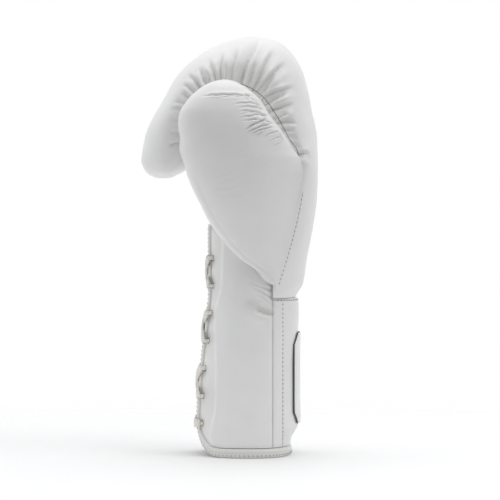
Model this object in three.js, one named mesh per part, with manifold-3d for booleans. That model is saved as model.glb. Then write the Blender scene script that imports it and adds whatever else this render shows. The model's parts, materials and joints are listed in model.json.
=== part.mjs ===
// Lace-up boxing glove for the right hand, standing on the hem of its cuff.
// Millimetres, +Z up. The palm faces -X, the back of the hand faces +X and the thumb is on the -Y side.
// Every form is worked out in the glove's own axes, whose origin is on the cuff's axis at the hem.
// At the end the whole glove is moved so that its origin is at the bottom centre of its box.
import * as THREE from "three";
import { mergeVertices } from "three/addons/utils/BufferGeometryUtils.js";
import Module from "manifold-3d";

const wasm = await Module();
wasm.setup();

// Driving sizes of the cuff
const cuffLength = 123.5; // hem to the wrist seam on the back of the hand
const cuffDepth = 76; // palm side to back
const cuffWidth = 100; // thumb side to little-finger side
const cuffWall = 6; // leather over thin padding
const sideSeamX = 17.6; // where the side panels of the cuff meet its back panel
const wristStep = 10.5; // the wrist seam starts its climb to the palm this far above the back seam
const wristSlope = 0.945; // rise of that climb for each millimetre towards the palm
const palmTop = 34; // the climb ends this far in front of the cuff's axis

// Driving sizes of the mitt
const handLength = 124.5; // wrist seam to the centre that the fingers curl round
const curlX = -19.8; // where that centre stands in front of the cuff's axis
const mittDepth = 140; // fingertip roll to the back of the hand
const mittWidth = 136; // across the knuckles
const handWidth = 92; // inside, across the four fingers
const fingerRoll = 16.5; // length of the rounded end over the fingertips
const sideRound = 24; // how far the sides draw in round that end
const seamValley = 0.085; // depth of the pucker along the side seams, as a share of the mitt's half width
const valleyAngle = 20; // how far round the section, in degrees, that pucker fades out
const valleyStart = 0.3; // how far up the hand it begins, as a share of handLength
const palmTaper = 0.1; // how much narrower the palm leather is at its bottom than at the seam

// Driving sizes of the thumb
const thumbLength = 155.5; // leaf point at the wrist to the tip of the thumb
const thumbBase = 10.5; // the leaf's point above the wrist seam
const thumbWidth = 87; // across the leaf at its widest, palm side to back
const thumbReach = 106; // centre plane of the glove to the outermost leather of the thumb
const thumbBore = 32; // inside diameter of the thumb stall

// Driving sizes of the lacing, edge tape and patch
const slitGap = 26; // between the taped edges of the palm slit
const tapeHeight = 7.5; // how much of an edge the tape covers
const tapeProud = 0.8; // how far the tape stands out of the leather on each side
const cornerRadius = 26; // rounded lower corners of the two flaps
const eyeletRows = 7;
const eyeletPitch = 21.5; // between rows, along the slit
const eyeletFirst = 25.5; // lowest row above the hem
const eyeletInset = 5; // eyelet centres from the leather's edge beside the tape
const eyeletDiameter = 5;
const laceWidth = 6.8;
const laceThickness = 1.6;
const laceTail = 34; // tucked end left inside the cuff
const patchWidth = 57;
const patchHeight = 71;
const patchBottom = 25; // above the hem
const patchThickness = 1.8;
const patchCorner = 9; // cut off each corner
const patchSeat = 0.5; // under the patch, where it bends over the cuff
const clearance = 0.3; // left between pieces that touch
const seamGap = 0.4; // between the two leathers of a seam
const thumbGap = 1.5 * clearance; // round the thumb where it lies in the hand's leather

// How many sides each closed section has.
const padSides = 16; // over the crown, from seam to seam
const palmSides = 10; // from seam to seam
const pocketSides = 12;
const hollowSides = 26;
const cuffSides = 44;
const thumbSides = 22;
const stallSides = 12;
const boreSides = 6;
const laceSides = 6;

// Shape of the closed sections: 2 is an ellipse, and larger is squarer.
const cuffSquareness = 2.4;
const padSquareness = 2.35;
const palmSquareness = 3;
const pocketSquareness = 2.5;
const rollSquareness = 2.4; // of the rounded fingertip end and of the thumb's rounded edge

// Sections of the cuff. level is a share of cuffLength above the hem, palm and back are shares of
// cuffDepth on each side of the axis, and half is a share of cuffWidth.
const cuffSections = [
  { level: -0.1, palm: 0.545, back: 0.425, half: 0.47 },
  { level: 0, palm: 0.545, back: 0.425, half: 0.475 },
  { level: 0.1, palm: 0.55, back: 0.43, half: 0.485 },
  { level: 0.15, palm: 0.555, back: 0.475, half: 0.488 },
  { level: 0.19, palm: 0.56, back: 0.5, half: 0.49 },
  { level: 0.33, palm: 0.555, back: 0.495, half: 0.495 },
  { level: 0.48, palm: 0.532, back: 0.493, half: 0.5 },
  { level: 0.68, palm: 0.5, back: 0.494, half: 0.5 },
  { level: 0.84, palm: 0.465, back: 0.505, half: 0.495 },
  { level: 0.95, palm: 0.447, back: 0.51, half: 0.49 },
  { level: 1, palm: 0.437, back: 0.5, half: 0.485 },
  { level: 1.15, palm: 0.434, back: 0.49, half: 0.495 },
  { level: 1.35, palm: 0.436, back: 0.46, half: 0.51 },
  { level: 1.6, palm: 0.436, back: 0.45, half: 0.52 },
];

// Dents in the cuff's leather. turn is the place round the cuff in degrees from its back, negative
// towards the thumb, and level, high and deep are shares of cuffLength, cuffLength and cuffWall.
const cuffDents = [
  { turn: -72, level: 0.935, wide: 11, high: 0.028, deep: 0.42 },
  { turn: -88, level: 0.88, wide: 12, high: 0.05, deep: 0.2 },
  { turn: -38, level: 1.02, wide: 14, high: 0.03, deep: 0.15 },
];

// Sections of the mitt. along is 0 at the wrist seam and 1 level with the centre of the curl, and it
// gains one more with each quarter turn round that centre. seam, outer and inner are distances from
// the centre as shares of mittDepth: the side seams, the padded back and the palm leather. half is a
// share of mittWidth.
const mittSections = [
  { along: -0.2, seam: 0.187, outer: 0.395, inner: -0.094, half: 0.358 },
  { along: 0, seam: 0.221, outer: 0.403, inner: -0.094, half: 0.362 },
  { along: 0.09, seam: 0.238, outer: 0.441, inner: -0.094, half: 0.375 },
  { along: 0.24, seam: 0.277, outer: 0.463, inner: -0.094, half: 0.405 },
  { along: 0.44, seam: 0.323, outer: 0.497, inner: -0.092, half: 0.445 },
  { along: 0.64, seam: 0.365, outer: 0.52, inner: -0.044, half: 0.478 },
  { along: 0.81, seam: 0.39, outer: 0.525, inner: 0.008, half: 0.493 },
  { along: 1, seam: 0.368, outer: 0.52, inner: 0.062, half: 0.5 },
  { along: 1.167, seam: 0.34, outer: 0.515, inner: 0.062, half: 0.502 },
  { along: 1.333, seam: 0.317, outer: 0.543, inner: 0.062, half: 0.504 },
  { along: 1.5, seam: 0.306, outer: 0.595, inner: 0.062, half: 0.504 },
  { along: 1.667, seam: 0.3, outer: 0.628, inner: 0.062, half: 0.503 },
  { along: 1.833, seam: 0.297, outer: 0.601, inner: 0.062, half: 0.502 },
  { along: 2, seam: 0.294, outer: 0.546, inner: 0.062, half: 0.5 },
  { along: 2.333, seam: 0.283, outer: 0.463, inner: 0.068, half: 0.489 },
  { along: 2.667, seam: 0.272, outer: 0.413, inner: 0.079, half: 0.47 },
  { along: 3, seam: 0.26, outer: 0.453, inner: 0.136, half: 0.448 },
  { along: 3.167, seam: 0.26, outer: 0.49, inner: 0.204, half: 0.426 },
];

// Sections of the hollow for the hand, in the same way, with half as a share of handWidth.
const pocketSections = [
  { along: -0.2, outer: 0.323, inner: -0.017, half: 0.46 },
  { along: 0.09, outer: 0.351, inner: -0.006, half: 0.47 },
  { along: 0.24, outer: 0.362, inner: 0.011, half: 0.48 },
  { along: 0.44, outer: 0.374, inner: 0.028, half: 0.49 },
  { along: 0.64, outer: 0.393, inner: 0.065, half: 0.5 },
  { along: 0.81, outer: 0.408, inner: 0.13, half: 0.5 },
  { along: 1, outer: 0.39, inner: 0.17, half: 0.5 },
  { along: 1.333, outer: 0.345, inner: 0.147, half: 0.5 },
  { along: 1.667, outer: 0.328, inner: 0.141, half: 0.49 },
  { along: 2, outer: 0.322, inner: 0.136, half: 0.48 },
  { along: 2.333, outer: 0.31, inner: 0.136, half: 0.47 },
  { along: 2.667, outer: 0.298, inner: 0.147, half: 0.45 },
  { along: 3, outer: 0.285, inner: 0.185, half: 0.39 },
  { along: 3.167, outer: 0.27, inner: 0.25, half: 0.2 },
];

// Gathers of the padded back where it is drawn into the side seams. along is where each fold meets the
// seam, lean is how far its outer end has moved along, reach is its length as a share of the pad's
// height, and depth is in shares of mittWidth.
const gathers = [
  { along: 0.9, lean: -0.03, reach: 0.45, depth: 0.018 },
  { along: 1.17, lean: -0.11, reach: 0.45, depth: 0.014 },
  { along: 1.26, lean: -0.04, reach: 0.35, depth: 0.016 },
  { along: 1.36, lean: -0.14, reach: 0.5, depth: 0.018 },
  { along: 1.46, lean: 0.02, reach: 0.5, depth: 0.02 },
  { along: 1.57, lean: -0.1, reach: 0.5, depth: 0.015 },
  { along: 1.65, lean: -0.11, reach: 0.65, depth: 0.018 },
  { along: 1.73, lean: -0.03, reach: 0.8, depth: 0.018 },
  { along: 1.8, lean: -0.16, reach: 0.5, depth: 0.014 },
  { along: 1.87, lean: -0.11, reach: 0.85, depth: 0.018 },
  { along: 1.96, lean: 0, reach: 0.65, depth: 0.018 },
  { along: 2.06, lean: -0.03, reach: 0.6, depth: 0.018 },
  { along: 2.13, lean: 0.04, reach: 0.6, depth: 0.014 },
  { along: 2.21, lean: 0.14, reach: 0.5, depth: 0.014 },
  { along: 2.3, lean: 0.15, reach: 0.55, depth: 0.018 },
  { along: 2.42, lean: 0.08, reach: 0.4, depth: 0.014 },
  { along: 2.58, lean: 0.05, reach: 0.45, depth: 0.014 },
  { along: 2.75, lean: 0.02, reach: 0.35, depth: 0.012 },
  { along: 2.92, lean: 0, reach: 0.4, depth: 0.014 },
  { along: 3.06, lean: -0.03, reach: 0.4, depth: 0.014 },
];
const foldWidth = 2.6; // half width of one gather at the seam
const foldSpread = 1.1; // how much wider it is at its far end, as a share
const foldRadius = 0.3; // mean distance of the seam from the centre of the curl, as a share of mittDepth

// Sections of the thumb, level as a share of thumbLength above the leaf's point. mid and half are
// shares of thumbWidth along X, axis is the widest line's distance from the centre plane, and front
// and rear are how far the section swells on each side of it, all three as shares of thumbReach.
// blend is the squareness of the edge that runs out into the back of the hand, and heel that of the
// side turned to the hand, whose edges pass square through the leather near the wrist.
const thumbSections = [
  { level: 0, mid: 0.22, half: 0.024, axis: 0.472, front: 0.019, rear: 0.12, blend: 1.3, heel: 5 },
  { level: 0.03, mid: 0.187, half: 0.07, axis: 0.476, front: 0.034, rear: 0.13, blend: 1.3, heel: 5 },
  { level: 0.064, mid: 0.168, half: 0.099, axis: 0.481, front: 0.047, rear: 0.14, blend: 1.3, heel: 5 },
  { level: 0.137, mid: 0.097, half: 0.205, axis: 0.495, front: 0.094, rear: 0.17, blend: 1.3, heel: 5 },
  { level: 0.234, mid: 0.043, half: 0.307, axis: 0.519, front: 0.16, rear: 0.245, blend: 1.3, heel: 3.6 },
  { level: 0.322, mid: 0.006, half: 0.379, axis: 0.547, front: 0.212, rear: 0.283, blend: 1.3, heel: 2.8 },
  { level: 0.38, mid: -0.009, half: 0.415, axis: 0.566, front: 0.241, rear: 0.302, blend: 1.3, heel: 2.4 },
  { level: 0.477, mid: -0.033, half: 0.473, axis: 0.594, front: 0.283, rear: 0.311, blend: 1.3, heel: 2.4 },
  { level: 0.563, mid: -0.05, half: 0.514, axis: 0.613, front: 0.316, rear: 0.311, blend: 1.35, heel: 2.4 },
  { level: 0.62, mid: -0.079, half: 0.517, axis: 0.632, front: 0.33, rear: 0.292, blend: 1.5, heel: 2.4 },
  { level: 0.665, mid: -0.116, half: 0.5, axis: 0.651, front: 0.33, rear: 0.283, blend: 1.7, heel: 2.4 },
  { level: 0.713, mid: -0.14, half: 0.471, axis: 0.675, front: 0.321, rear: 0.264, blend: 1.9, heel: 2.4 },
  { level: 0.761, mid: -0.176, half: 0.446, axis: 0.698, front: 0.307, rear: 0.245, blend: 2.1, heel: 2.4 },
  { level: 0.809, mid: -0.207, half: 0.417, axis: 0.717, front: 0.288, rear: 0.236, blend: 2.2, heel: 2.4 },
  { level: 0.857, mid: -0.222, half: 0.378, axis: 0.736, front: 0.259, rear: 0.226, blend: 2.2, heel: 2.4 },
  { level: 0.904, mid: -0.217, half: 0.322, axis: 0.745, front: 0.226, rear: 0.208, blend: 2.2, heel: 2.4 },
  { level: 0.943, mid: -0.222, half: 0.248, axis: 0.75, front: 0.179, rear: 0.17, blend: 2.2, heel: 2.4 },
  { level: 0.971, mid: -0.226, half: 0.172, axis: 0.755, front: 0.132, rear: 0.127, blend: 2.2, heel: 2.4 },
  { level: 0.992, mid: -0.22, half: 0.09, axis: 0.755, front: 0.071, rear: 0.071, blend: 2.2, heel: 2.4 },
  { level: 1, mid: -0.217, half: 0.03, axis: 0.755, front: 0.028, rear: 0.028, blend: 2.2, heel: 2.4 },
];

// The hollow of the thumb stall. level is a share of thumbLength, mid a share of thumbWidth, axis a
// share of thumbReach and bore a share of thumbBore.
const stallSections = [
  { level: 0.2, mid: 0.1, axis: 0.3, bore: 0.9 },
  { level: 0.38, mid: 0.03, axis: 0.44, bore: 1.05 },
  { level: 0.56, mid: -0.08, axis: 0.585, bore: 1 },
  { level: 0.72, mid: -0.17, axis: 0.69, bore: 0.95 },
  { level: 0.84, mid: -0.21, axis: 0.74, bore: 0.85 },
  { level: 0.88, mid: -0.215, axis: 0.745, bore: 0.55 },
];

const radians = Math.PI / 180;
const clamp = THREE.MathUtils.clamp;
const smooth = (t) => THREE.MathUtils.smoothstep(t, 0, 1);
const signedPower = (value, power) => Math.sign(value) * Math.abs(value) ** power;

// Reads a table at a place between its rows. Each column follows a smooth curve without overshoot.
function rowAt(table, key, place) {
  const last = table.length - 1;
  const at = clamp(place, table[0][key], table[last][key]);
  let i = 0;
  while (i < last - 1 && table[i + 1][key] < at) i += 1;
  const span = table[i + 1][key] - table[i][key];
  const t = (at - table[i][key]) / span;
  const row = {};
  for (const column of Object.keys(table[0])) {
    const slope = (k) => (table[k + 1][column] - table[k][column]) / (table[k + 1][key] - table[k][key]);
    const tangent = (k) => {
      if (k === 0) return slope(0);
      if (k === last) return slope(last - 1);
      const [before, after] = [slope(k - 1), slope(k)];
      return before * after <= 0 ? 0 : (2 * before * after) / (before + after);
    };
    row[column] =
      (1 + 2 * t) * (1 - t) ** 2 * table[i][column] +
      t * (1 - t) ** 2 * span * tangent(i) +
      t * t * (3 - 2 * t) * table[i + 1][column] +
      t * t * (t - 1) * span * tangent(i + 1);
  }
  return row;
}

function steps(from, to, count) {
  return Array.from({ length: count + 1 }, (_, i) => from + ((to - from) * i) / count);
}

// A closed body through rings of points, each closed by a flat cap at its ends.
function loft(rings) {
  const size = rings[0].length;
  const last = (rings.length - 1) * size;
  const points = rings.flat();
  const faces = [];
  for (let start = 0; start < last; start += size) {
    for (let k = 0; k < size; k += 1) {
      const next = (k + 1) % size;
      const [a, b] = [start + k, start + next];
      faces.push(a, b, b + size, a, b + size, a + size);
    }
  }
  for (const start of [0, last]) {
    const middle = new THREE.Vector3();
    for (let k = 0; k < size; k += 1) middle.addScaledVector(points[start + k], 1 / size);
    const centre = points.push(middle) - 1;
    for (let k = 0; k < size; k += 1) {
      const [a, b] = [start + k, start + ((k + 1) % size)];
      faces.push(...(start === last ? [a, b, centre] : [b, a, centre]));
    }
  }
  const geometry = new THREE.BufferGeometry().setFromPoints(points);
  geometry.setIndex(faces);
  return solidOf(geometry);
}

// A closed geometry as a solid for cutting and joining, turned right side out.
function solidOf(geometry) {
  geometry.deleteAttribute("normal");
  geometry.deleteAttribute("uv");
  const merged = mergeVertices(geometry, 1e-4);
  const triVerts = new Uint32Array(merged.index.array);
  const vertProperties = merged.attributes.position.array;
  const made = new wasm.Manifold(new wasm.Mesh({ numProp: 3, vertProperties, triVerts }));
  if (made.volume() > 0) return made;
  for (let i = 0; i < triVerts.length; i += 3) {
    [triVerts[i + 1], triVerts[i + 2]] = [triVerts[i + 2], triVerts[i + 1]];
  }
  return new wasm.Manifold(new wasm.Mesh({ numProp: 3, vertProperties, triVerts }));
}

// A block between two corners.
function block(low, high) {
  const size = high.map((value, i) => value - low[i]);
  const geometry = new THREE.BoxGeometry(...size);
  geometry.translate(...low.map((value, i) => value + size[i] / 2));
  return solidOf(geometry);
}

// An outline of [x, z] points carried right across the glove along Y.
function acrossGlove(outline) {
  const shape = new THREE.Shape(outline.map(([x, z]) => new THREE.Vector2(x, z)));
  const geometry = new THREE.ExtrudeGeometry(shape, { depth: 4 * mittWidth, bevelEnabled: false });
  geometry.rotateX(Math.PI / 2);
  geometry.translate(0, 2 * mittWidth, 0);
  return solidOf(geometry);
}

function dentDepth(turn, level) {
  let depth = 0;
  for (const dent of cuffDents) {
    const away = ((turn - dent.turn) / dent.wide) ** 2 + ((level - dent.level) / dent.high) ** 2;
    depth += dent.deep * cuffWall * Math.exp(-away);
  }
  return depth;
}

// The cuff's outside at one height, as a ring of points drawn in by an inset.
function cuffRing(z, inset, count) {
  const row = rowAt(cuffSections, "level", z / cuffLength);
  return steps(0, 360, count).slice(0, -1).map((degrees) => {
    const [c, s] = [Math.cos(degrees * radians), Math.sin(degrees * radians)];
    const turn = degrees > 180 ? degrees - 360 : degrees;
    const drawnIn = inset + dentDepth(turn, z / cuffLength);
    return new THREE.Vector3(
      ((c > 0 ? row.back : row.palm) * cuffDepth - drawnIn) * signedPower(c, 2 / cuffSquareness),
      (row.half * cuffWidth - drawnIn) * signedPower(s, 2 / cuffSquareness),
      z,
    );
  });
}

// Where a section of the mitt stands: its origin on the curl's centre line, its outward direction
// in the XZ plane, and its sizes in millimetres.
function mittStation(along) {
  const row = rowAt(mittSections, "along", along);
  const pocket = rowAt(pocketSections, "along", along);
  const turn = Math.max(along - 1, 0) * 90 * radians;
  const rise = cuffLength + handLength * Math.min(along, 1);
  return {
    along,
    centre: new THREE.Vector3(curlX, 0, rise),
    outward: new THREE.Vector3(Math.cos(turn), 0, Math.sin(turn)),
    seam: row.seam * mittDepth,
    outer: row.outer * mittDepth,
    inner: row.inner * mittDepth,
    half: row.half * mittWidth,
    pocketOuter: pocket.outer * mittDepth,
    pocketInner: pocket.inner * mittDepth,
    pocketHalf: pocket.half * handWidth,
  };
}

// The rounded end over the fingertips: the last section drawn in as it moves on by t of the roll.
function rollStation(t) {
  const end = mittStation(mittSections.at(-1).along);
  const forward = new THREE.Vector3(-end.outward.z, 0, end.outward.x);
  const shrink = (1 - t ** rollSquareness) ** (1 / rollSquareness);
  const middle = (end.outer + end.inner) / 2;
  return {
    ...end,
    centre: end.centre.clone().addScaledVector(forward, fingerRoll * t),
    seam: THREE.MathUtils.lerp(end.seam, middle, t * t),
    outer: middle + (end.outer - middle) * shrink,
    inner: middle + (end.inner - middle) * shrink,
    half: end.half - sideRound * (1 - shrink),
  };
}

// How deep the gathers press the padded back at one place. height is 0 at the seam and 1 at the crown.
function gatherDepth(along, height) {
  let depth = 0;
  for (const fold of gathers) {
    const fade = smooth(1 - height / fold.reach);
    const offset = (along - fold.along - fold.lean * height) * 90 * radians * foldRadius * mittDepth;
    const width = foldWidth * (1 + (foldSpread * height) / fold.reach);
    depth += fold.depth * mittWidth * fade * Math.exp(-((offset / width) ** 2));
  }
  return depth;
}

// A point of a section, at a distance from its origin and at its place across the glove.
function placed(station, distance, y) {
  return station.centre.clone().addScaledVector(station.outward, distance).setY(y);
}

// How much a section is drawn in beside its seam, at an angle from the crown.
function valleyAt(station, degrees) {
  const grown = smooth((station.along - valleyStart) / (1 - valleyStart));
  const near = Math.exp(-(((90 - Math.abs(degrees)) / valleyAngle) ** 2));
  return 1 - seamValley * grown * near;
}

// One ring of the padded back: over the crown from seam to seam, then straight across between them.
function padRing(station, count) {
  const low = station.seam + seamGap / 2;
  const ring = steps(-90, 90, count).map((degrees) => {
    const [c, s] = [Math.cos(degrees * radians), Math.sin(degrees * radians)];
    const height = signedPower(Math.max(c, 0), 2 / padSquareness);
    const side = signedPower(s, 2 / padSquareness);
    const press = gatherDepth(station.along, height);
    const distance = low + Math.max(station.outer - low, 0) * height - press * height;
    const reach = station.half * valleyAt(station, degrees) - press;
    return placed(station, Math.max(distance, low), reach * side);
  });
  return [...ring, placed(station, low, 0)];
}

// One ring of the palm leather, on the other side of the seam.
function palmRing(station, count) {
  const high = station.seam - seamGap / 2;
  const edge = station.half * valleyAt(station, 90) - gatherDepth(station.along, 0);
  const ring = steps(90, -90, count).map((degrees) => {
    const [c, s] = [Math.cos(degrees * radians), Math.sin(degrees * radians)];
    const depth = signedPower(Math.max(c, 0), 2 / palmSquareness);
    const distance = high - Math.max(high - station.inner, 0) * depth;
    return placed(station, distance, edge * (1 - palmTaper * depth) * signedPower(s, 2 / palmSquareness));
  });
  return [...ring, placed(station, high, 0)];
}

const curlEnd = mittSections.at(-1).along;
const curlSteps = 25; // of the palm leather; the gathered pad has twice as many
const handPlaces = steps(-0.2, 0.88, 8);
const rollStations = [0.35, 0.6, 0.78, 0.9, 0.97].map(rollStation);
const padStations = [...handPlaces, ...steps(0.9, curlEnd, 2 * curlSteps)].map(mittStation);
const palmStations = [...handPlaces, ...steps(0.9, curlEnd, curlSteps)].map(mittStation);
const padBody = loft([...padStations, ...rollStations].map((station) => padRing(station, padSides)));
const palmBody = loft([...palmStations, ...rollStations].map((station) => palmRing(station, palmSides)));

// The hollow for the hand, from inside the cuff up over the knuckles and down to the fingertips.
function pocketRing(station, count) {
  const middle = (station.pocketOuter + station.pocketInner) / 2;
  const thick = (station.pocketOuter - station.pocketInner) / 2;
  return steps(0, 360, count).slice(0, -1).map((degrees) => {
    const [c, s] = [Math.cos(degrees * radians), Math.sin(degrees * radians)];
    const power = 2 / pocketSquareness;
    const distance = middle + thick * signedPower(c, power);
    return placed(station, distance, station.pocketHalf * signedPower(s, power));
  });
}
const pocketPlaces = [...steps(-0.2, 1, 5), ...steps(1.15, 3.03, 12)];
const handPocket = loft(pocketPlaces.map((along) => pocketRing(mittStation(along), pocketSides)));
const hollowRing = (level) => cuffRing(level * cuffLength, cuffWall, hollowSides);
const cuffHollow = loft(steps(-0.08, 1.12, 8).map(hollowRing));
const palmHollow = loft(steps(1.05, 1.52, 5).map((level) =>
  hollowRing(level).map((point) => point.setX(Math.min(point.x, sideSeamX - cuffWall)))));

// One place on the thumb's outside, grown by a margin. degrees up to 180 are on its outer leather, and
// the rest on its inner leather, towards the hand.
function thumbPoint(level, degrees, margin) {
  const row = rowAt(thumbSections, "level", level);
  const [c, s] = [Math.cos(degrees * radians), Math.sin(degrees * radians)];
  const front = c > 0 ? row.blend : rollSquareness;
  const power = 2 / (s > 0 ? front : row.heel);
  const swell = (s > 0 ? row.front : row.rear) * thumbReach + margin;
  return new THREE.Vector3(
    row.mid * thumbWidth + (row.half * thumbWidth + margin) * signedPower(c, power),
    -row.axis * thumbReach - swell * signedPower(s, power),
    cuffLength + thumbBase + thumbLength * level,
  );
}

const thumbLevels = [...steps(0, 0.9, 16), ...steps(0.93, 1, 4)];

// The room that the thumb takes in the leather behind it.
const seatRings = thumbLevels.map((level) =>
  steps(0, 360, thumbSides).slice(0, -1).map((degrees) => thumbPoint(level, degrees, thumbGap)));
seatRings[0].forEach((point) => point.setZ(point.z - thumbGap));
seatRings.at(-1).forEach((point) => point.setZ(point.z + thumbGap));
const thumbSeat = loft(seatRings);

// One half of the thumb, up to the seam along its widest line; side is 1 for the outer half.
function thumbHalf(side) {
  return loft(thumbLevels.map((level) => {
    const seamY = thumbPoint(level, 0, 0).y;
    return steps(0, 180, thumbSides / 2).map((degrees) => {
      const point = thumbPoint(level, side * degrees, 0);
      return point.setY(seamY - side * Math.max(side * (seamY - point.y), seamGap / 2));
    });
  }));
}
const thumbStall = loft(stallSections.map((row) => {
  const z = cuffLength + thumbBase + thumbLength * row.level;
  const centre = new THREE.Vector3(row.mid * thumbWidth, -row.axis * thumbReach, z);
  return steps(0, 360, stallSides).slice(0, -1).map((degrees) => {
    const offset = new THREE.Vector3(Math.cos(degrees * radians), Math.sin(degrees * radians), 0);
    return centre.clone().addScaledVector(offset, (row.bore * thumbBore) / 2);
  });
}));

// Everything below the wrist seam, with its step and its climb to the palm, moved up by a shift.
function belowWrist(shift) {
  const far = 3 * mittDepth;
  const stepZ = cuffLength + wristStep + shift;
  return acrossGlove([
    [far, -far],
    [far, cuffLength + shift],
    [sideSeamX, cuffLength + shift],
    [sideSeamX, stepZ],
    [-palmTop, stepZ + (palmTop + sideSeamX) * wristSlope],
    [-far, stepZ + (palmTop + sideSeamX) * wristSlope],
    [-far, -far],
  ]);
}

const hollow = handPocket.add(cuffHollow).add(palmHollow);
const aboveWrist = belowWrist(clearance / 2);
const backPad = padBody.subtract(hollow).subtract(thumbSeat).subtract(aboveWrist);
const palmPanel = palmBody.subtract(hollow).subtract(thumbSeat).subtract(aboveWrist);
const thumbOuter = thumbHalf(1).subtract(hollow).subtract(thumbStall);
const thumbInner = thumbHalf(-1).subtract(hollow).subtract(thumbStall);

// The cuff: a padded tube, cut by the wrist seam, the slit and the two side seams.
const lowLevels = [-0.01, 0.05, 0.1, 0.15, 0.19, ...steps(0.29, 0.8, 4)];
const dentLevels = [0.87, 0.905, 0.935, 0.965, 1];
const cuffLevels = [...lowLevels, ...dentLevels, ...steps(1.12, 1.6, 4)];
const cuffOuter = loft(cuffLevels.map((level) => cuffRing(level * cuffLength, 0, cuffSides)));
const cuffInner = loft(steps(-0.1, 1.7, 9).map(hollowRing));
const cuffTube = cuffOuter.subtract(cuffInner).intersect(belowWrist(-clearance / 2)).subtract(thumbSeat);

// Half the cuff's outline at one height, seen from above, as distances along the leather from the
// middle of the slit. side is -1 towards the thumb.
const outlineSteps = 120;
function cuffOutline(z, inset) {
  const ring = cuffRing(z, inset, 2 * outlineSteps);
  const half = ring.slice(outlineSteps).concat([ring[0]]);
  const length = [0];
  for (let i = 1; i < half.length; i += 1) length.push(length[i - 1] + half[i].distanceTo(half[i - 1]));
  return { half, length };
}

// A point of the cuff at a distance along the leather from the slit, with its outward direction.
function cuffPoint(distance, z, inset) {
  const { half, length } = cuffOutline(z, inset);
  const side = Math.sign(distance);
  const away = clamp(Math.abs(distance), 0, length.at(-1));
  let i = 0;
  while (i < half.length - 2 && length[i + 1] < away) i += 1;
  const t = (away - length[i]) / (length[i + 1] - length[i]);
  const point = half[i].clone().lerp(half[i + 1], t);
  const run = half[i + 1].clone().sub(half[i]).normalize();
  const outward = new THREE.Vector3(run.y, -run.x, 0);
  if (side > 0) {
    point.y = -point.y;
    outward.y = -outward.y;
  }
  return { point, outward };
}

// A place on the cuff, moved out of its leather by an offset.
function raised({ point, outward }, offset) {
  return point.clone().addScaledVector(outward, offset);
}

const tapeLine = slitGap / 2 + tapeHeight / 2; // middle of the tape beside the slit
const tapeEdge = slitGap / 2 + tapeHeight + clearance; // where the leather of a flap starts

// What is cut away between the two flaps: a band over the slit, as wide as the leather's edges are
// apart, which widens round their lower corners. It follows the cuff and is thicker than its wall.
function slitCutter() {
  const low = tapeHeight + clearance;
  const rows = [[tapeEdge + cornerRadius, low - cuffWall]];
  for (const degrees of steps(270, 180, 9)) {
    const [c, s] = [Math.cos(degrees * radians), Math.sin(degrees * radians)];
    rows.push([tapeEdge + cornerRadius * (1 + c), low + cornerRadius * (1 + s)]);
  }
  for (const z of steps(rows.at(-1)[1], 1.7 * cuffLength, 10).slice(1)) rows.push([tapeEdge, z]);
  return loft(rows.map(([edge, z]) => {
    const places = steps(-edge, edge, 16).map((distance) => cuffPoint(distance, z, cuffWall / 2));
    const sheet = (offset) => places.map((place) => raised(place, offset));
    return [...sheet(cuffWall), ...sheet(-cuffWall).reverse()];
  }));
}

const eyeletPlaces = Array.from({ length: eyeletRows }, (_, i) => eyeletFirst + eyeletPitch * i);
const eyeletLine = tapeEdge + eyeletInset;

// An eyelet bored through the cuff's wall.
function eyeletBore(side, z) {
  const { point, outward } = cuffPoint(side * eyeletLine, z, cuffWall / 2);
  const radius = eyeletDiameter / 2;
  const geometry = new THREE.CylinderGeometry(radius, radius, 4 * cuffWall, boreSides);
  geometry.rotateZ(Math.PI / 2);
  geometry.rotateZ(Math.atan2(outward.y, outward.x));
  geometry.translate(point.x, point.y, point.z);
  return solidOf(geometry);
}

// The part of the cuff above the tape on the hem, between two places along X and two along Y.
function cuffPanel(fromX, toX, fromY, toY) {
  return cuffTube.intersect(block([fromX, fromY, tapeHeight + clearance], [toX, toY, 3 * cuffLength]));
}
const cuffBack = cuffPanel(sideSeamX + clearance / 2, cuffDepth, -cuffWidth, cuffWidth);

// A flap of the cuff from the side seam to the slit, with its eyelets; side is -1 towards the thumb.
function cuffFlap(side) {
  const [fromY, toY] = side < 0 ? [-cuffWidth, 0] : [0, cuffWidth];
  let flap = cuffPanel(-cuffDepth, sideSeamX - clearance / 2, fromY, toY).subtract(slitCutter());
  for (const z of eyeletPlaces) flap = flap.subtract(eyeletBore(side, z));
  return flap;
}

// The tape's line from the top of one slit edge, round the hem, to the top of the other, as
// distances along the leather and heights.
function tapeRoute() {
  const top = cuffLength + wristStep + (sideSeamX + palmTop) * wristSlope - 4 * clearance;
  const middle = tapeHeight / 2;
  const radius = cornerRadius + tapeHeight / 2;
  const half = [];
  for (const z of steps(top, middle + radius, 10)) half.push([tapeLine, z]);
  for (const degrees of steps(180, 270, 9).slice(1)) {
    half.push([
      tapeLine + radius + radius * Math.cos(degrees * radians),
      middle + radius + radius * Math.sin(degrees * radians),
    ]);
  }
  const round = cuffOutline(middle, cuffWall / 2).length.at(-1);
  for (const distance of steps(tapeLine + radius, round, 11).slice(1)) half.push([distance, middle]);
  const other = half.slice(0, -1).reverse();
  return [...half, ...other.map(([distance, z]) => [-distance, z])];
}

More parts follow.
